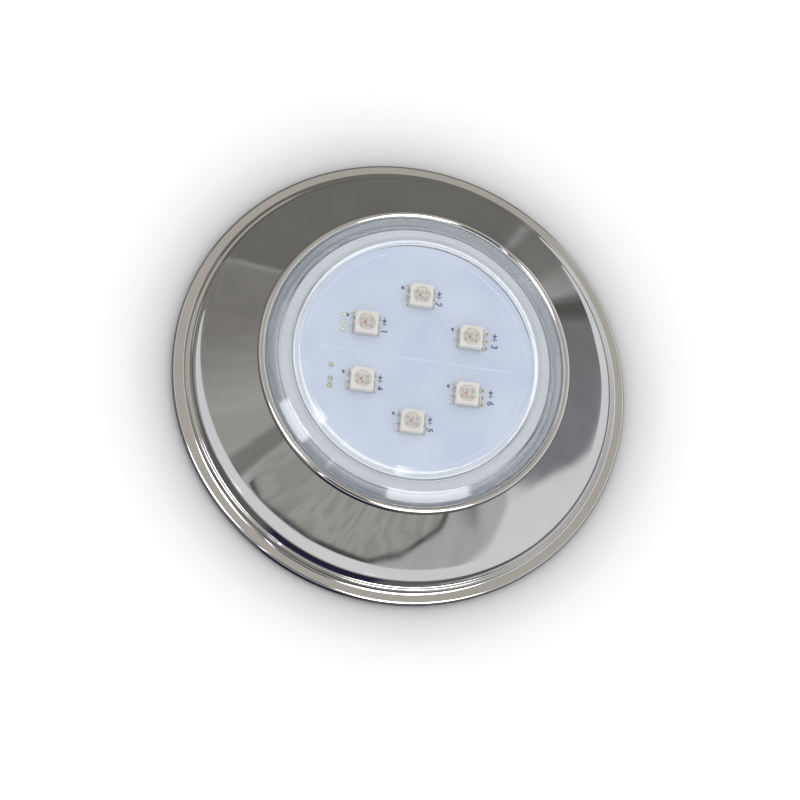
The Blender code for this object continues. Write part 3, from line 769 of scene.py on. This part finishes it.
BOARD_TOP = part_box("led_board")[1].z / MM
PRINT_FOOT = BOARD_TOP + 0.002  # underside of print and plating
PLATING_TOP = BOARD_TOP + 0.06
TRACE_WIDE = 0.5
MASK_LIFT = 0.03  # thickness of copper under the mask, and of the print on it
LEAD_ROWS = (1.65, -0.1, -1.85)
PAD_DEEP = 0.95
PAD_WIDE = 1.25
PAD_REACH = 3.1  # from the middle of a package to the middle of its pads
VIA_ROWS = (1.55, -0.15, -1.85)
VIA_RADIUS = 0.6
VIA_BORE = 0.26
VIA_REACHES = ((1, -4.82), (3, 3.5), (6, 3.5))  # LED, and from its middle to its plated holes
JOINT_ROWS = (2.7, -0.4, -1.95)
JOINT_REACH = -6.76  # from the middle of LED 4 to its solder joints
DOME_RADIUS = 0.58
DOT_PLACE = (-3.95, 1.55)
DOT_RADIUS = 0.38
CAVITY_RADIUS = 1.95
CAVITY_DEEP = 0.5
LEAD_FRAME_LIFT = 0.06  # top of the lead frame over the cavity's floor
DIES = (  # name, finish, place on the package and side
    ("red", RED_DIE, -0.35, 0.0, 0.42),
    ("green", GREEN_DIE, -0.3, 0.85, 0.36),
    ("blue", BLUE_DIE, 0.65, -0.7, 0.32),
)


def led_centre(number):
    middle, _, low, high = block(f"led_{number}")
    return middle.x, middle.y, low, high


def make_board():
    outer, low, top = span("led_board")
    section = rounded([(0.0, top), (outer, top), (outer, low), (0.0, low)], 0.12, closed=False)
    board = turned("board_disc", section, MASK)
    stand_for(board, "capsule", "board_white", "led_board")
    make_traces()


def make_traces():
    """Copper under the mask: two half rings, a bar between them and a stub to every LED."""
    shape = bmesh.new()
    top = BOARD_TOP + MASK_LIFT
    for start, end in ((8.0, 172.0), (188.0, 352.0)):
        outline = sector(24.0, 24.0 + TRACE_WIDE, start, end)
        prism_shape(shape, outline, BOARD_TOP, top, 0.0)
    prism_shape(shape, rectangle(0.0, 0.0, 43.0, TRACE_WIDE), BOARD_TOP, top, 0.0)
    for number in range(1, 7):
        x, y, _, _ = led_centre(number)
        for row in LEAD_ROWS:
            for side in (-1.0, 1.0):
                pad = rectangle(x + side * PAD_REACH, y + row, PAD_WIDE, PAD_DEEP + 0.25)
                prism_shape(shape, pad, BOARD_TOP, top, 0.0)
    stand_for(smooth_piece("board_copper", shape, TRACE), "capsule", "board_white")


def make_leads(number):
    """Six tinned legs with their solder fillets, three on each side of a package."""
    x, y, low, _ = led_centre(number)
    foot = BOARD_TOP + MASK_LIFT
    shape = bmesh.new()
    for side in (-1.0, 1.0):
        rise = low + 0.55
        profile = [(2.46, rise), (2.46, foot + 0.01), (3.48, foot + 0.01), (3.42, foot + 0.1)]
        profile += [(3.42 - 0.62 * math.sin(t), foot + 0.1 + 0.45 * (1.0 - math.cos(t))) for t in
                    [math.radians(a) for a in (20, 40, 60, 80, 90)]]
        profile += [(2.66, rise)]
        for row in LEAD_ROWS:
            near = (y + row - PAD_DEEP / 2) * MM
            verts = [shape.verts.new(((x + side * px) * MM, near, pz * MM)) for px, pz in profile]
            face = shape.faces.new(verts)
            raised = bmesh.ops.extrude_face_region(shape, geom=[face])["geom"]
            moved = [v for v in raised if isinstance(v, bmesh.types.BMVert)]
            bmesh.ops.translate(shape, vec=Vector((0.0, PAD_DEEP * MM, 0.0)), verts=moved)
    bmesh.ops.recalc_face_normals(shape, faces=shape.faces)
    stand_for(smooth_piece(f"led_{number}_legs", shape, TIN), "capsule", "led_cream")


def make_led(number):
    """A three-colour package: cream housing with a round cavity, lead frame, dies and clear resin."""
    x, y, low, high = led_centre(number)
    half = 2.5
    outline = [(-half, -half), (half, -half), (half, half), (-half + 0.7, half), (-half, half - 0.7)]
    housing = prism(f"led_{number}_housing", [(x + a, y + b) for a, b in outline], low, high, CREAM, 0.12, 2)
    floor = high - CAVITY_DEEP
    bowl = [(0.0, high + 0.3), (CAVITY_RADIUS + 0.1, high + 0.3), (CAVITY_RADIUS, high),
            (CAVITY_RADIUS - 0.3, floor), (0.0, floor)]
    carve(housing, [turned(f"led_{number}_bowl", bowl, CREAM, SMALL_STEPS, (x, y))])
    stand_for(housing, "capsule", "led_cream", f"led_{number}")
    shape = bmesh.new()
    for px in (-1.05, 0.0, 1.05):
        for py in (-0.82, 0.82):
            pad = rectangle(x + px, y + py * 0.75, 0.75, 0.95)
            prism_shape(shape, pad, floor + 0.005, floor + LEAD_FRAME_LIFT, 0.0)
    stand_for(smooth_piece(f"led_{number}_frame", shape, FRAME_GREY), "capsule", "led_cream")
    for label, finish, px, py, side in DIES:
        outline = rectangle(x + px, y + py, side, side)
        die = prism(f"led_{number}_{label}", outline, floor + LEAD_FRAME_LIFT, floor + 0.2, finish, 0.02, 1)
        stand_for(die, "capsule", "led_cream")
    dome = [(0.0, high + 0.02), (CAVITY_RADIUS * 0.5, high), (CAVITY_RADIUS - 0.04, high - 0.1),
            (CAVITY_RADIUS - 0.06, high - 0.16), (CAVITY_RADIUS - 0.28, floor + 0.24), (0.0, floor + 0.24)]
    resin = turned(f"led_{number}_resin", dome, RESIN, SMALL_STEPS, (x, y))
    stand_for(resin, "capsule", "clear_lens")


def make_dots(name, places, radius, finish, height, slot):
    """Flat or low printed discs at the given places."""
    shape = bmesh.new()
    for place_x, place_y in places:
        prism_shape(shape, circle(radius, (place_x, place_y), 32), PRINT_FOOT, BOARD_TOP + height, 0.0)
    return stand_for(smooth_piece(name, shape, finish), "capsule", slot)


def make_vias():
    """Plated holes beside LEDs 1, 3 and 6, and domed solder joints beside LED 4."""
    places = []
    for number, reach in VIA_REACHES:
        x, y, _, _ = led_centre(number)
        places += [(x + reach, y + row) for row in VIA_ROWS]
    for index, (px, py) in enumerate(places, start=1):
        section = [(VIA_RADIUS, PLATING_TOP), (VIA_RADIUS, PRINT_FOOT), (VIA_BORE, PRINT_FOOT),
                   (VIA_BORE, PLATING_TOP)]
        eyelet = turned(f"plated_hole_{index}", rounded(section, 0.025), GOLD, 32, (px, py))
        stand_for(eyelet, "capsule", "board_white")
    make_dots("hole_plugs", places, 0.25, WHITE_INK, 0.03, "board_white")
    x, y, _, _ = led_centre(4)
    for index, row in enumerate(JOINT_ROWS, start=1):
        section = [(0.0, BOARD_TOP + 0.5)] + arc((0.0, BOARD_TOP + 0.02), 0.48, 80.0, 20.0)
        section += [(DOME_RADIUS, PLATING_TOP), (DOME_RADIUS, PRINT_FOOT), (0.0, PRINT_FOOT)]
        joint = turned(f"solder_joint_{index}", section, GOLD, 48, (x + JOINT_REACH, y + row))
        stand_for(joint, "capsule", "board_white")


def make_print():
    """Pin-one dots, and a numeral with a diode mark beside each LED, all in navy print."""
    dots = []
    for number in range(1, 7):
        x, y, _, _ = led_centre(number)
        dots.append((x + DOT_PLACE[0], y + DOT_PLACE[1]))
        letters = bpy.data.curves.new(f"numeral_{number}", "FONT")
        letters.body = str(number)
        letters.size = 2.0 * MM
        letters.extrude = 0.012 * MM
        letters.offset = 0.05 * MM
        letters.align_x = "CENTER"
        letters.align_y = "CENTER"
        text = bpy.data.objects.new(f"numeral_{number}_text", letters)
        bpy.context.scene.collection.objects.link(text)
        reach = 4.95 if number in (3, 6) else 3.65
        text.rotation_euler = (0.0, 0.0, math.radians(-90.0))
        text.location = ((x + reach + 0.4) * MM, (y - 1.15) * MM, (BOARD_TOP + 0.014) * MM)
        bpy.context.view_layer.update()
        mesh = bpy.data.meshes.new_from_object(text.evaluated_get(bpy.context.evaluated_depsgraph_get()))
        mesh.transform(text.matrix_world)
        bpy.data.objects.remove(text)
        numeral = new_piece(f"numeral_{number}", mesh, NAVY)
        stand_for(numeral, "capsule", "board_white")
        make_diode_mark(number, x + reach + 0.4, y + 0.95)
    make_dots("pin_dots", dots, DOT_RADIUS, NAVY, 0.025, "board_white")


def make_diode_mark(number, x, y):
    """The generic diode sign: a triangle against a bar, pointing down the board."""
    shape = bmesh.new()
    low, high = PRINT_FOOT, BOARD_TOP + 0.025
    prism_shape(shape, [(x - 0.55, y + 0.55), (x + 0.55, y + 0.55), (x, y - 0.35)], low, high)
    prism_shape(shape, rectangle(x, y - 0.46, 1.1, 0.18), low, high)
    prism_shape(shape, rectangle(x, y + 0.78, 0.16, 0.5), low, high)
    prism_shape(shape, rectangle(x, y - 0.72, 0.16, 0.4), low, high)
    mesh = mesh_of(shape, f"diode_mark_{number}")
    stand_for(new_piece(f"diode_mark_{number}", mesh, NAVY), "capsule", "board_white")


def make_hidden_parts():
    """What the back of the board carries: chip resistors, rectifier, capacitor and the leads' socket."""
    for number in range(1, 7):
        middle, size, low, high = block(f"resistor_{number}")
        body = prism(
            f"chip_{number}", rectangle(middle.x, middle.y, size.x - 0.7, size.y - 0.06), low + 0.03,
            high - 0.03, COMPONENT, 0.04, 2,
        )
        stand_for(body, "capsule", "component_black", f"resistor_{number}")
        shape = bmesh.new()
        for side in (-1.0, 1.0):
            cap = rectangle(middle.x + side * (size.x / 2.0 - 0.25), middle.y, 0.5, size.y)
            prism_shape(shape, cap, low, high, 0.05, 2)
        stand_for(smooth_piece(f"chip_{number}_ends", shape, TIN), "capsule", "aluminium_can")
    middle, size, low, high = block("bridge_rectifier")
    outline = rectangle(middle.x, middle.y, size.x, size.y)
    body = prism("bridge", outline, low, high, COMPONENT, 0.25, 3)
    stand_for(body, "capsule", "component_black", "bridge_rectifier")
    middle, size, low, high = block("lead_socket")
    outline = rectangle(middle.x, middle.y, size.x, size.y)
    body = prism("socket_body", outline, low, high, WHITE, 0.2, 2)
    ways = [prism(f"way_{i}", rectangle(middle.x + (i - 1.5) * 2.2, middle.y, 1.4, 2.4), low - 1.0,
                  low + 2.6, WHITE) for i in range(4)]
    carve(body, ways)
    stand_for(body, "capsule", "white_plastic", "lead_socket")
    middle, size, low, high = block("smoothing_capacitor")
    radius, top, foot = size.x / 2.0, high, low
    section = [
        (0.0, top), (radius - 0.15, top), (radius, top - 0.15), (radius, top - 0.7),
        (radius - 0.18, top - 0.9), (radius, top - 1.1), (radius, foot + 0.3), (radius - 0.3, foot),
        (radius - 0.6, foot + 0.08), (0.0, foot + 0.08),
    ]
    can = turned("capacitor_can", section, ALUMINIUM, SMALL_STEPS, (middle.x, middle.y))
    stand_for(can, "capsule", "aluminium_can", "smoothing_capacitor")


# --- cord gland ------------------------------------------------------------------------------

GLAND_BORE = 3.4
GLAND_STUB_RADIUS = 5.6
GLAND_SHANK_RADIUS = 5.9
GLAND_POCKET = 4.6
GLAND_POCKET_TOP = 5.9
GLAND_FLANGE_LOW = 5.9
GLAND_FLANGE_HIGH = 8.3
GLAND_FLATS = 15.0
NUT_FLOOR = 1.3
NUT_BORE = 3.3
NUT_THREAD_RADIUS = 5.9
NUT_FLATS = 16.0
THREAD_PITCH = 1.5


def hex_blank(name, flats, low, high, turn_deg, finish):
    """A hexagonal prism whose corners are turned off at both ends."""
    blank = prism(name, hexagon(flats, turn_deg), low, high, finish)
    corner = flats / 2.0 / math.cos(math.radians(30.0))
    drop = 0.55
    skirt = [(0.0, high + 0.01), (flats / 2.0 + 0.1, high + 0.01), (corner + 0.15, high - drop),
             (corner + 0.15, low + drop), (flats / 2.0 + 0.1, low - 0.01), (0.0, low - 0.01)]
    return carve(blank, [turned(name + "_chamfer", skirt, finish, SMALL_STEPS)], "INTERSECT")


def threads(radius, depth, high, low):
    """Points down the outer side of a threaded stretch."""
    made = []
    z = high
    while z - THREAD_PITCH > low:
        made += [(radius, z - 0.15), (radius, z - 0.4), (radius - depth, z - 0.8), (radius - depth, z - 1.05)]
        z -= THREAD_PITCH
    return made


def make_gland():
    low, top = heights("gland_body")
    section = [(GLAND_SHANK_RADIUS - 0.3, top), (GLAND_SHANK_RADIUS, top - 0.3)]
    section += threads(GLAND_SHANK_RADIUS, 0.35, top - 0.4, GLAND_FLANGE_HIGH)
    section += [(GLAND_SHANK_RADIUS, GLAND_FLANGE_HIGH - 0.5), (GLAND_STUB_RADIUS, GLAND_FLANGE_LOW + 0.5)]
    section += threads(GLAND_STUB_RADIUS, 0.35, GLAND_FLANGE_LOW, low)
    section += [(GLAND_STUB_RADIUS, low + 0.3), (GLAND_STUB_RADIUS - 0.3, low), (GLAND_POCKET, low),
                (GLAND_POCKET, GLAND_POCKET_TOP), (GLAND_BORE, GLAND_POCKET_TOP), (GLAND_BORE, top)]
    core = turned("gland_core", section, NYLON, SMALL_STEPS)
    flange = hex_blank("gland_flange", GLAND_FLATS, GLAND_FLANGE_LOW, GLAND_FLANGE_HIGH, 0.0, NYLON)
    carve(flange, [prism("flange_bore", circle(GLAND_POCKET + 0.4), 0.0, 10.0, NYLON)])
    carve(core, [flange], "UNION")
    stand_for(core, "capsule", "black_nylon", "gland_body")
    for name, node, inner, finish, slot, edge in (
        ("washer_ring", "gland_washer", 6.2, RUBBER, "black_rubber", 0.12),
        ("cord_seal", "gland_seal", 3.15, RUBBER, "black_rubber", 0.2),
        ("slip_washer", "gland_slip_ring", 3.3, WHITE, "white_plastic", 0.12),
    ):
        outer, ring_low, ring_high = span(node)
        made = ring(name, inner, outer, ring_low, ring_high, edge, finish, SMALL_STEPS)
        stand_for(made, "capsule", slot, node)
    low, top = heights("gland_locknut")
    locknut = hex_blank("lock_nut", GLAND_FLATS, low, top, 15.0, NYLON)
    carve(locknut, [prism("locknut_bore", circle(GLAND_SHANK_RADIUS + FIT), 10.0, 15.0, NYLON)])
    stand_for(locknut, "capsule", "black_nylon", "gland_locknut")
    low, top = heights("gland_nut")
    nut = hex_blank("cord_nut", NUT_FLATS, low, top, 0.0, NYLON)
    mouth = [(0.0, NUT_FLOOR + 0.2), (NUT_BORE, NUT_FLOOR + 0.2), (NUT_BORE, low + 0.4),
             (NUT_BORE + 0.5, low - 0.1), (0.0, low - 0.1)]
    bore = turned("nut_bore", mouth, NYLON, SMALL_STEPS)
    thread = prism("nut_thread", circle(NUT_THREAD_RADIUS), NUT_FLOOR, top + 1.0, NYLON)
    carve(nut, [bore, thread])
    stand_for(nut, "nut", "black_nylon", "gland_nut")


# --- floor, light and camera -----------------------------------------------------------------

FLOOR_SIZE = 8.0  # metres
FLOOR_DROP = 0.2  # below the wall plane, so that the two don't meet
# Painted shadow round the lamp: the floor's tone is darkened to half within the first radius, in millimetres
# from the axis, and fades back to full by the second.
PAINTED_SHADOW_RADII = (48.0, 71.0)
PAINTED_SHADOW_FADE = [
    (at, (light,) * 3) for at, light in ((0.0, 0.50), (0.25, 0.74), (0.5, 0.90), (0.75, 0.97), (1.0, 1.0))
]
VIEW_AZIMUTH_DEG = -28.39
VIEW_ELEVATION_DEG = 67.92
AXIS_LEAN_DEG = 55.46  # direction in the picture of the lamp's axis, from its right side
CAMERA_DISTANCE = 1.5  # metres
LENS_LENGTH = 312.0
AIM_HEIGHT = 2.0
AIM_RIGHT = 0.01
AIM_DOWN = 3.72

# What polished surfaces mirror, by direction in degrees; azimuth 0 is along +X. Below SKYLINE stand the
# dark things round the object, and above it everything is light.
SKYLINE = (
    (0, 0), (7, -1.5), (20, -6), (34, -11), (50, -7), (58, 44), (100, 46), (128, 40), (146, 21),
    (178, 24), (199, 26), (213, 27.8), (246, 28.4), (281, 25), (294, 22.5), (307, 19.5), (320, 14),
    (332, 6.5), (339, 4.5), (352, 1.5), (360, 0),
)
CLOTH_EDGE = (  # top of the cloth that lies in front
    (0, -90), (209, -90), (210, 24), (222, 26.4), (246, 26.7), (271, 25.2), (284, 22), (292, 18.7), (299, 16),
    (303, 14), (320, 4), (335, -8), (340, -90), (360, -90),
)
AROUND = (  # colour of the dark things, by azimuth
    (0, (0.225, 0.23, 0.255)), (20, (0.225, 0.23, 0.255)), (33, (0.20, 0.20, 0.21)),
    (38, (0.20, 0.20, 0.205)), (40, (0.10, 0.095, 0.09)), (43, (0.11, 0.105, 0.10)),
    (45, (0.37, 0.37, 0.37)), (48, (0.33, 0.33, 0.325)), (51, (0.22, 0.215, 0.21)),
    (58.6, (0.20, 0.195, 0.19)), (59.5, (0.42, 0.42, 0.42)), (60.5, (0.18, 0.178, 0.172)),
    (128, (0.178, 0.174, 0.165)), (129.5, (0.33, 0.33, 0.32)), (131, (0.235, 0.228, 0.215)),
    (154, (0.24, 0.232, 0.22)), (165, (0.31, 0.305, 0.295)), (179, (0.40, 0.395, 0.38)),
    (200, (0.42, 0.415, 0.40)), (202, (0.23, 0.23, 0.22)), (209, (0.22, 0.22, 0.21)),
    (211, (0.47, 0.48, 0.50)), (335, (0.50, 0.505, 0.52)), (339, (0.26, 0.265, 0.29)),
    (360, (0.225, 0.23, 0.255)),
)
CLOTH = ((0.31, 0.305, 0.29), (0.395, 0.39, 0.37))
CLOTH_HEM = (0.05, 0.05, 0.05)
CEILING = (0.73, 0.745, 0.775)
OVERHEAD = (0.47, 0.452, 0.415)
HEM_FROM_DEG = 214.0  # the hem of the cloth shows beyond this azimuth
NEAR_TABLE_DEG = 255.0  # azimuths of the middle of the near and the far table
FAR_TABLE_DEG = 25.0
NEAR_TABLE = (0.02, 0.02, 0.045)
FAR_TABLE = (0.13, 0.13, 0.15)
SIDE_TABLE = (0.12, 0.12, 0.13)
# Soft-edged cards: azimuth, elevation, half width, half height and softness, and the colour.
CARDS = (
    (249.0, 60.0, 22.0, 18.0, 2.0, (0.012, 0.012, 0.03)),
    (200.0, 57.0, 13.0, 19.0, 2.0, (8.0, 8.0, 8.2)),
    (234.0, 62.0, 1.6, 22.0, 1.0, (2.2, 2.1, 2.6)),
    (297.0, 55.0, 23.0, 17.0, 2.0, (8.0, 8.0, 8.2)),
)


def make_floor():
    mesh = bpy.data.meshes.new("floor")
    half = FLOOR_SIZE / 2.0
    corners = [(-half, -half, 0.0), (half, -half, 0.0), (half, half, 0.0), (-half, half, 0.0)]
    mesh.from_pydata(corners, [], [(0, 1, 2, 3)])
    finish, tree, shader = new_finish("floor_paper_painted_shadow", (0.86, 0.86, 0.86), 0.9)
    tone = ramp(tree, noise(tree, 3.0), [(0.3, (0.85, 0.85, 0.85)), (0.7, (0.88, 0.88, 0.88))])
    away = add_node(tree, "ShaderNodeVectorMath", operation="LENGTH")
    tree.links.new(place(tree), away.inputs[0])
    # Painted shadow: the floor's colour is darkened towards the lamp.
    painted_shadow_share = ramp(
        tree, band(tree, away.outputs["Value"], PAINTED_SHADOW_RADII[0] * MM, PAINTED_SHADOW_RADII[1] * MM), PAINTED_SHADOW_FADE
    )
    tone_under_painted_shadow = blend_colour(tree, painted_shadow_share, (0.0, 0.0, 0.0), tone)
    tree.links.new(tone_under_painted_shadow, shader.inputs["Base Color"])
    shader.inputs["Specular IOR Level"].default_value = 0.0
    floor = new_piece("floor", mesh, finish)
    floor.location.z = -FLOOR_DROP * MM
    floor.visible_glossy = False


def by_azimuth(tree, azimuth, stops):
    """A colour, or an elevation from -90 to 90 degrees, that depends on azimuth alone."""
    turn = calc(tree, "DIVIDE", azimuth, 360.0)
    if isinstance(stops[0][1], tuple):
        return ramp(tree, turn, [(at / 360.0, colour) for at, colour in stops])
    level = ramp(tree, turn, [(at / 360.0, ((rise + 90.0) / 180.0,) * 3) for at, rise in stops])
    return calc(tree, "MULTIPLY_ADD", level, 180.0, -90.0)


def mirrored_room(tree, azimuth, elevation):
    """Dark things below the skyline, with a folded cloth in front, and a light ceiling above it."""
    spread = add_node(tree, "ShaderNodeCombineXYZ")
    slanted = calc(tree, "MULTIPLY_ADD", elevation, 0.06, calc(tree, "DIVIDE", azimuth, 16.0))
    tree.links.new(slanted, spread.inputs["X"])
    tree.links.new(calc(tree, "DIVIDE", elevation, 20.0), spread.inputs["Y"])
    folds = add_node(tree, "ShaderNodeTexNoise", Scale=1.6, Detail=2.5, Roughness=0.5, Distortion=0.6)
    tree.links.new(spread.outputs["Vector"], folds.inputs["Vector"])
    fold = folds.outputs["Fac"]
    around = by_azimuth(tree, azimuth, AROUND)
    shaded = blend_colour(tree, band(tree, fold, 0.35, 0.65, 0.16, 0.0), around, (0.1, 0.1, 0.1))
    cloth = ramp(tree, fold, [(0.38, CLOTH[0]), (0.5, CLOTH[1]), (0.57, CLOTH[0]), (0.66, CLOTH[1])])
    above_cloth = calc(tree, "SUBTRACT", elevation, by_azimuth(tree, azimuth, CLOTH_EDGE))
    room = blend_colour(tree, band(tree, above_cloth, -0.2, 0.2), cloth, shaded)
    in_front = calc(tree, "GREATER_THAN", azimuth, HEM_FROM_DEG)
    hem = band(tree, calc(tree, "ABSOLUTE", above_cloth), 0.2, 0.6, 1.0, 0.0)
    room = blend_colour(tree, calc(tree, "MULTIPLY", hem, in_front), room, CLOTH_HEM)
    off_near = calc(tree, "ABSOLUTE", calc(tree, "SUBTRACT", azimuth, NEAR_TABLE_DEG))
    table = blend_colour(tree, band(tree, off_near, 20.0, 26.0), NEAR_TABLE, SIDE_TABLE)
    past_far = calc(tree, "SUBTRACT", azimuth, FAR_TABLE_DEG)
    off_far = calc(tree, "ABSOLUTE", calc(tree, "WRAP", past_far, 180.0, -180.0))
    table = blend_colour(tree, band(tree, off_far, 50.0, 62.0, 1.0, 0.0), table, FAR_TABLE)
    table_edge = band(tree, off_near, 60.0, 100.0, 12.0, -24.0)
    above_table = calc(tree, "SUBTRACT", elevation, table_edge)
    room = blend_colour(tree, band(tree, above_table, -2.0, 2.0), table, room)
    ceiling = blend_colour(tree, band(tree, elevation, 37.0, 48.0, kind="SMOOTHSTEP"), CEILING, OVERHEAD)
    above = calc(tree, "SUBTRACT", elevation, by_azimuth(tree, azimuth, SKYLINE))
    return blend_colour(tree, band(tree, above, -0.5, 0.5), room, ceiling)


def make_surroundings():
    """White to the camera, a soft even dome to matt surfaces, and the cards to polished ones."""
    world = bpy.data.worlds.new("studio")
    bpy.context.scene.world = world
    world.use_nodes = True
    tree = world.node_tree
    where = add_node(tree, "ShaderNodeTexCoord")
    split = add_node(tree, "ShaderNodeSeparateXYZ")
    tree.links.new(where.outputs["Generated"], split.inputs["Vector"])
    x, y, z = (split.outputs[i] for i in range(3))
    azimuth = calc(tree, "WRAP", calc(tree, "DEGREES", calc(tree, "ARCTAN2", y, x)), 360.0, 0.0)
    elevation = calc(tree, "DEGREES", calc(tree, "ARCSINE", z))
    mirrored = mirrored_room(tree, azimuth, elevation)
    for card_azimuth, card_elevation, wide, tall, soft, colour in CARDS:
        off = calc(tree, "WRAP", calc(tree, "SUBTRACT", azimuth, card_azimuth), -180.0, 180.0)
        across = band(tree, calc(tree, "ABSOLUTE", off), wide - soft, wide + soft, 1.0, 0.0, "SMOOTHSTEP")
        rise = calc(tree, "ABSOLUTE", calc(tree, "SUBTRACT", elevation, card_elevation))
        along = band(tree, rise, tall - soft, tall + soft, 1.0, 0.0, "SMOOTHSTEP")
        mirrored = blend_colour(tree, calc(tree, "MULTIPLY", across, along), mirrored, colour)
    dome = ramp(tree, band(tree, z, -1.0, 1.0), [(0.0, (0.9, 0.9, 0.9)), (1.0, (1.26, 1.26, 1.26))])
    path = add_node(tree, "ShaderNodeLightPath")
    outside = calc(tree, "LESS_THAN", path.outputs["Transmission Depth"], 0.5)
    seen = blend_colour(tree, calc(tree, "MULTIPLY", path.outputs["Is Glossy Ray"], outside), dome, mirrored)
    seen = blend_colour(tree, path.outputs["Is Camera Ray"], seen, (1.0, 1.0, 1.0))
    tree.links.new(seen, tree.nodes["Background"].inputs["Color"])


def make_camera():
    a, e = math.radians(VIEW_AZIMUTH_DEG), math.radians(VIEW_ELEVATION_DEG)
    back = Vector((math.sin(a) * math.cos(e), -math.cos(a) * math.cos(e), math.sin(e)))
    level = Vector((math.cos(a), math.sin(a), 0.0))
    upright = back.cross(level)
    lean = math.radians(AXIS_LEAN_DEG)
    right = upright * math.cos(lean) + level * math.sin(lean)
    up = upright * math.sin(lean) - level * math.cos(lean)
    aim = Vector((0.0, 0.0, AIM_HEIGHT * MM)) + right * (AIM_RIGHT * MM) - up * (AIM_DOWN * MM)
    camera = bpy.data.objects.new("camera", bpy.data.cameras.new("camera"))
    camera.data.lens = LENS_LENGTH
    camera.data.clip_start = 0.01
    camera.data.clip_end = 20.0
    facing = Matrix((right, up, back)).transposed().to_4x4()
    camera.matrix_world = Matrix.Translation(aim + back * CAMERA_DISTANCE) @ facing
    bpy.context.scene.collection.objects.link(camera)
    bpy.context.scene.camera = camera
    bpy.context.scene.view_settings.view_transform = "Standard"


make_trim()
make_wall_base()
for index, turn in enumerate(THIRDS, start=1):
    make_clip(index, turn)
    make_clip_screw(index, turn)
make_lamp_body()
make_lens()
make_seal_ring()
make_board()
for index in range(1, 7):
    make_led(index)
    make_leads(index)
make_vias()
make_print()
make_hidden_parts()
make_gland()
make_floor()
make_surroundings()
make_camera()
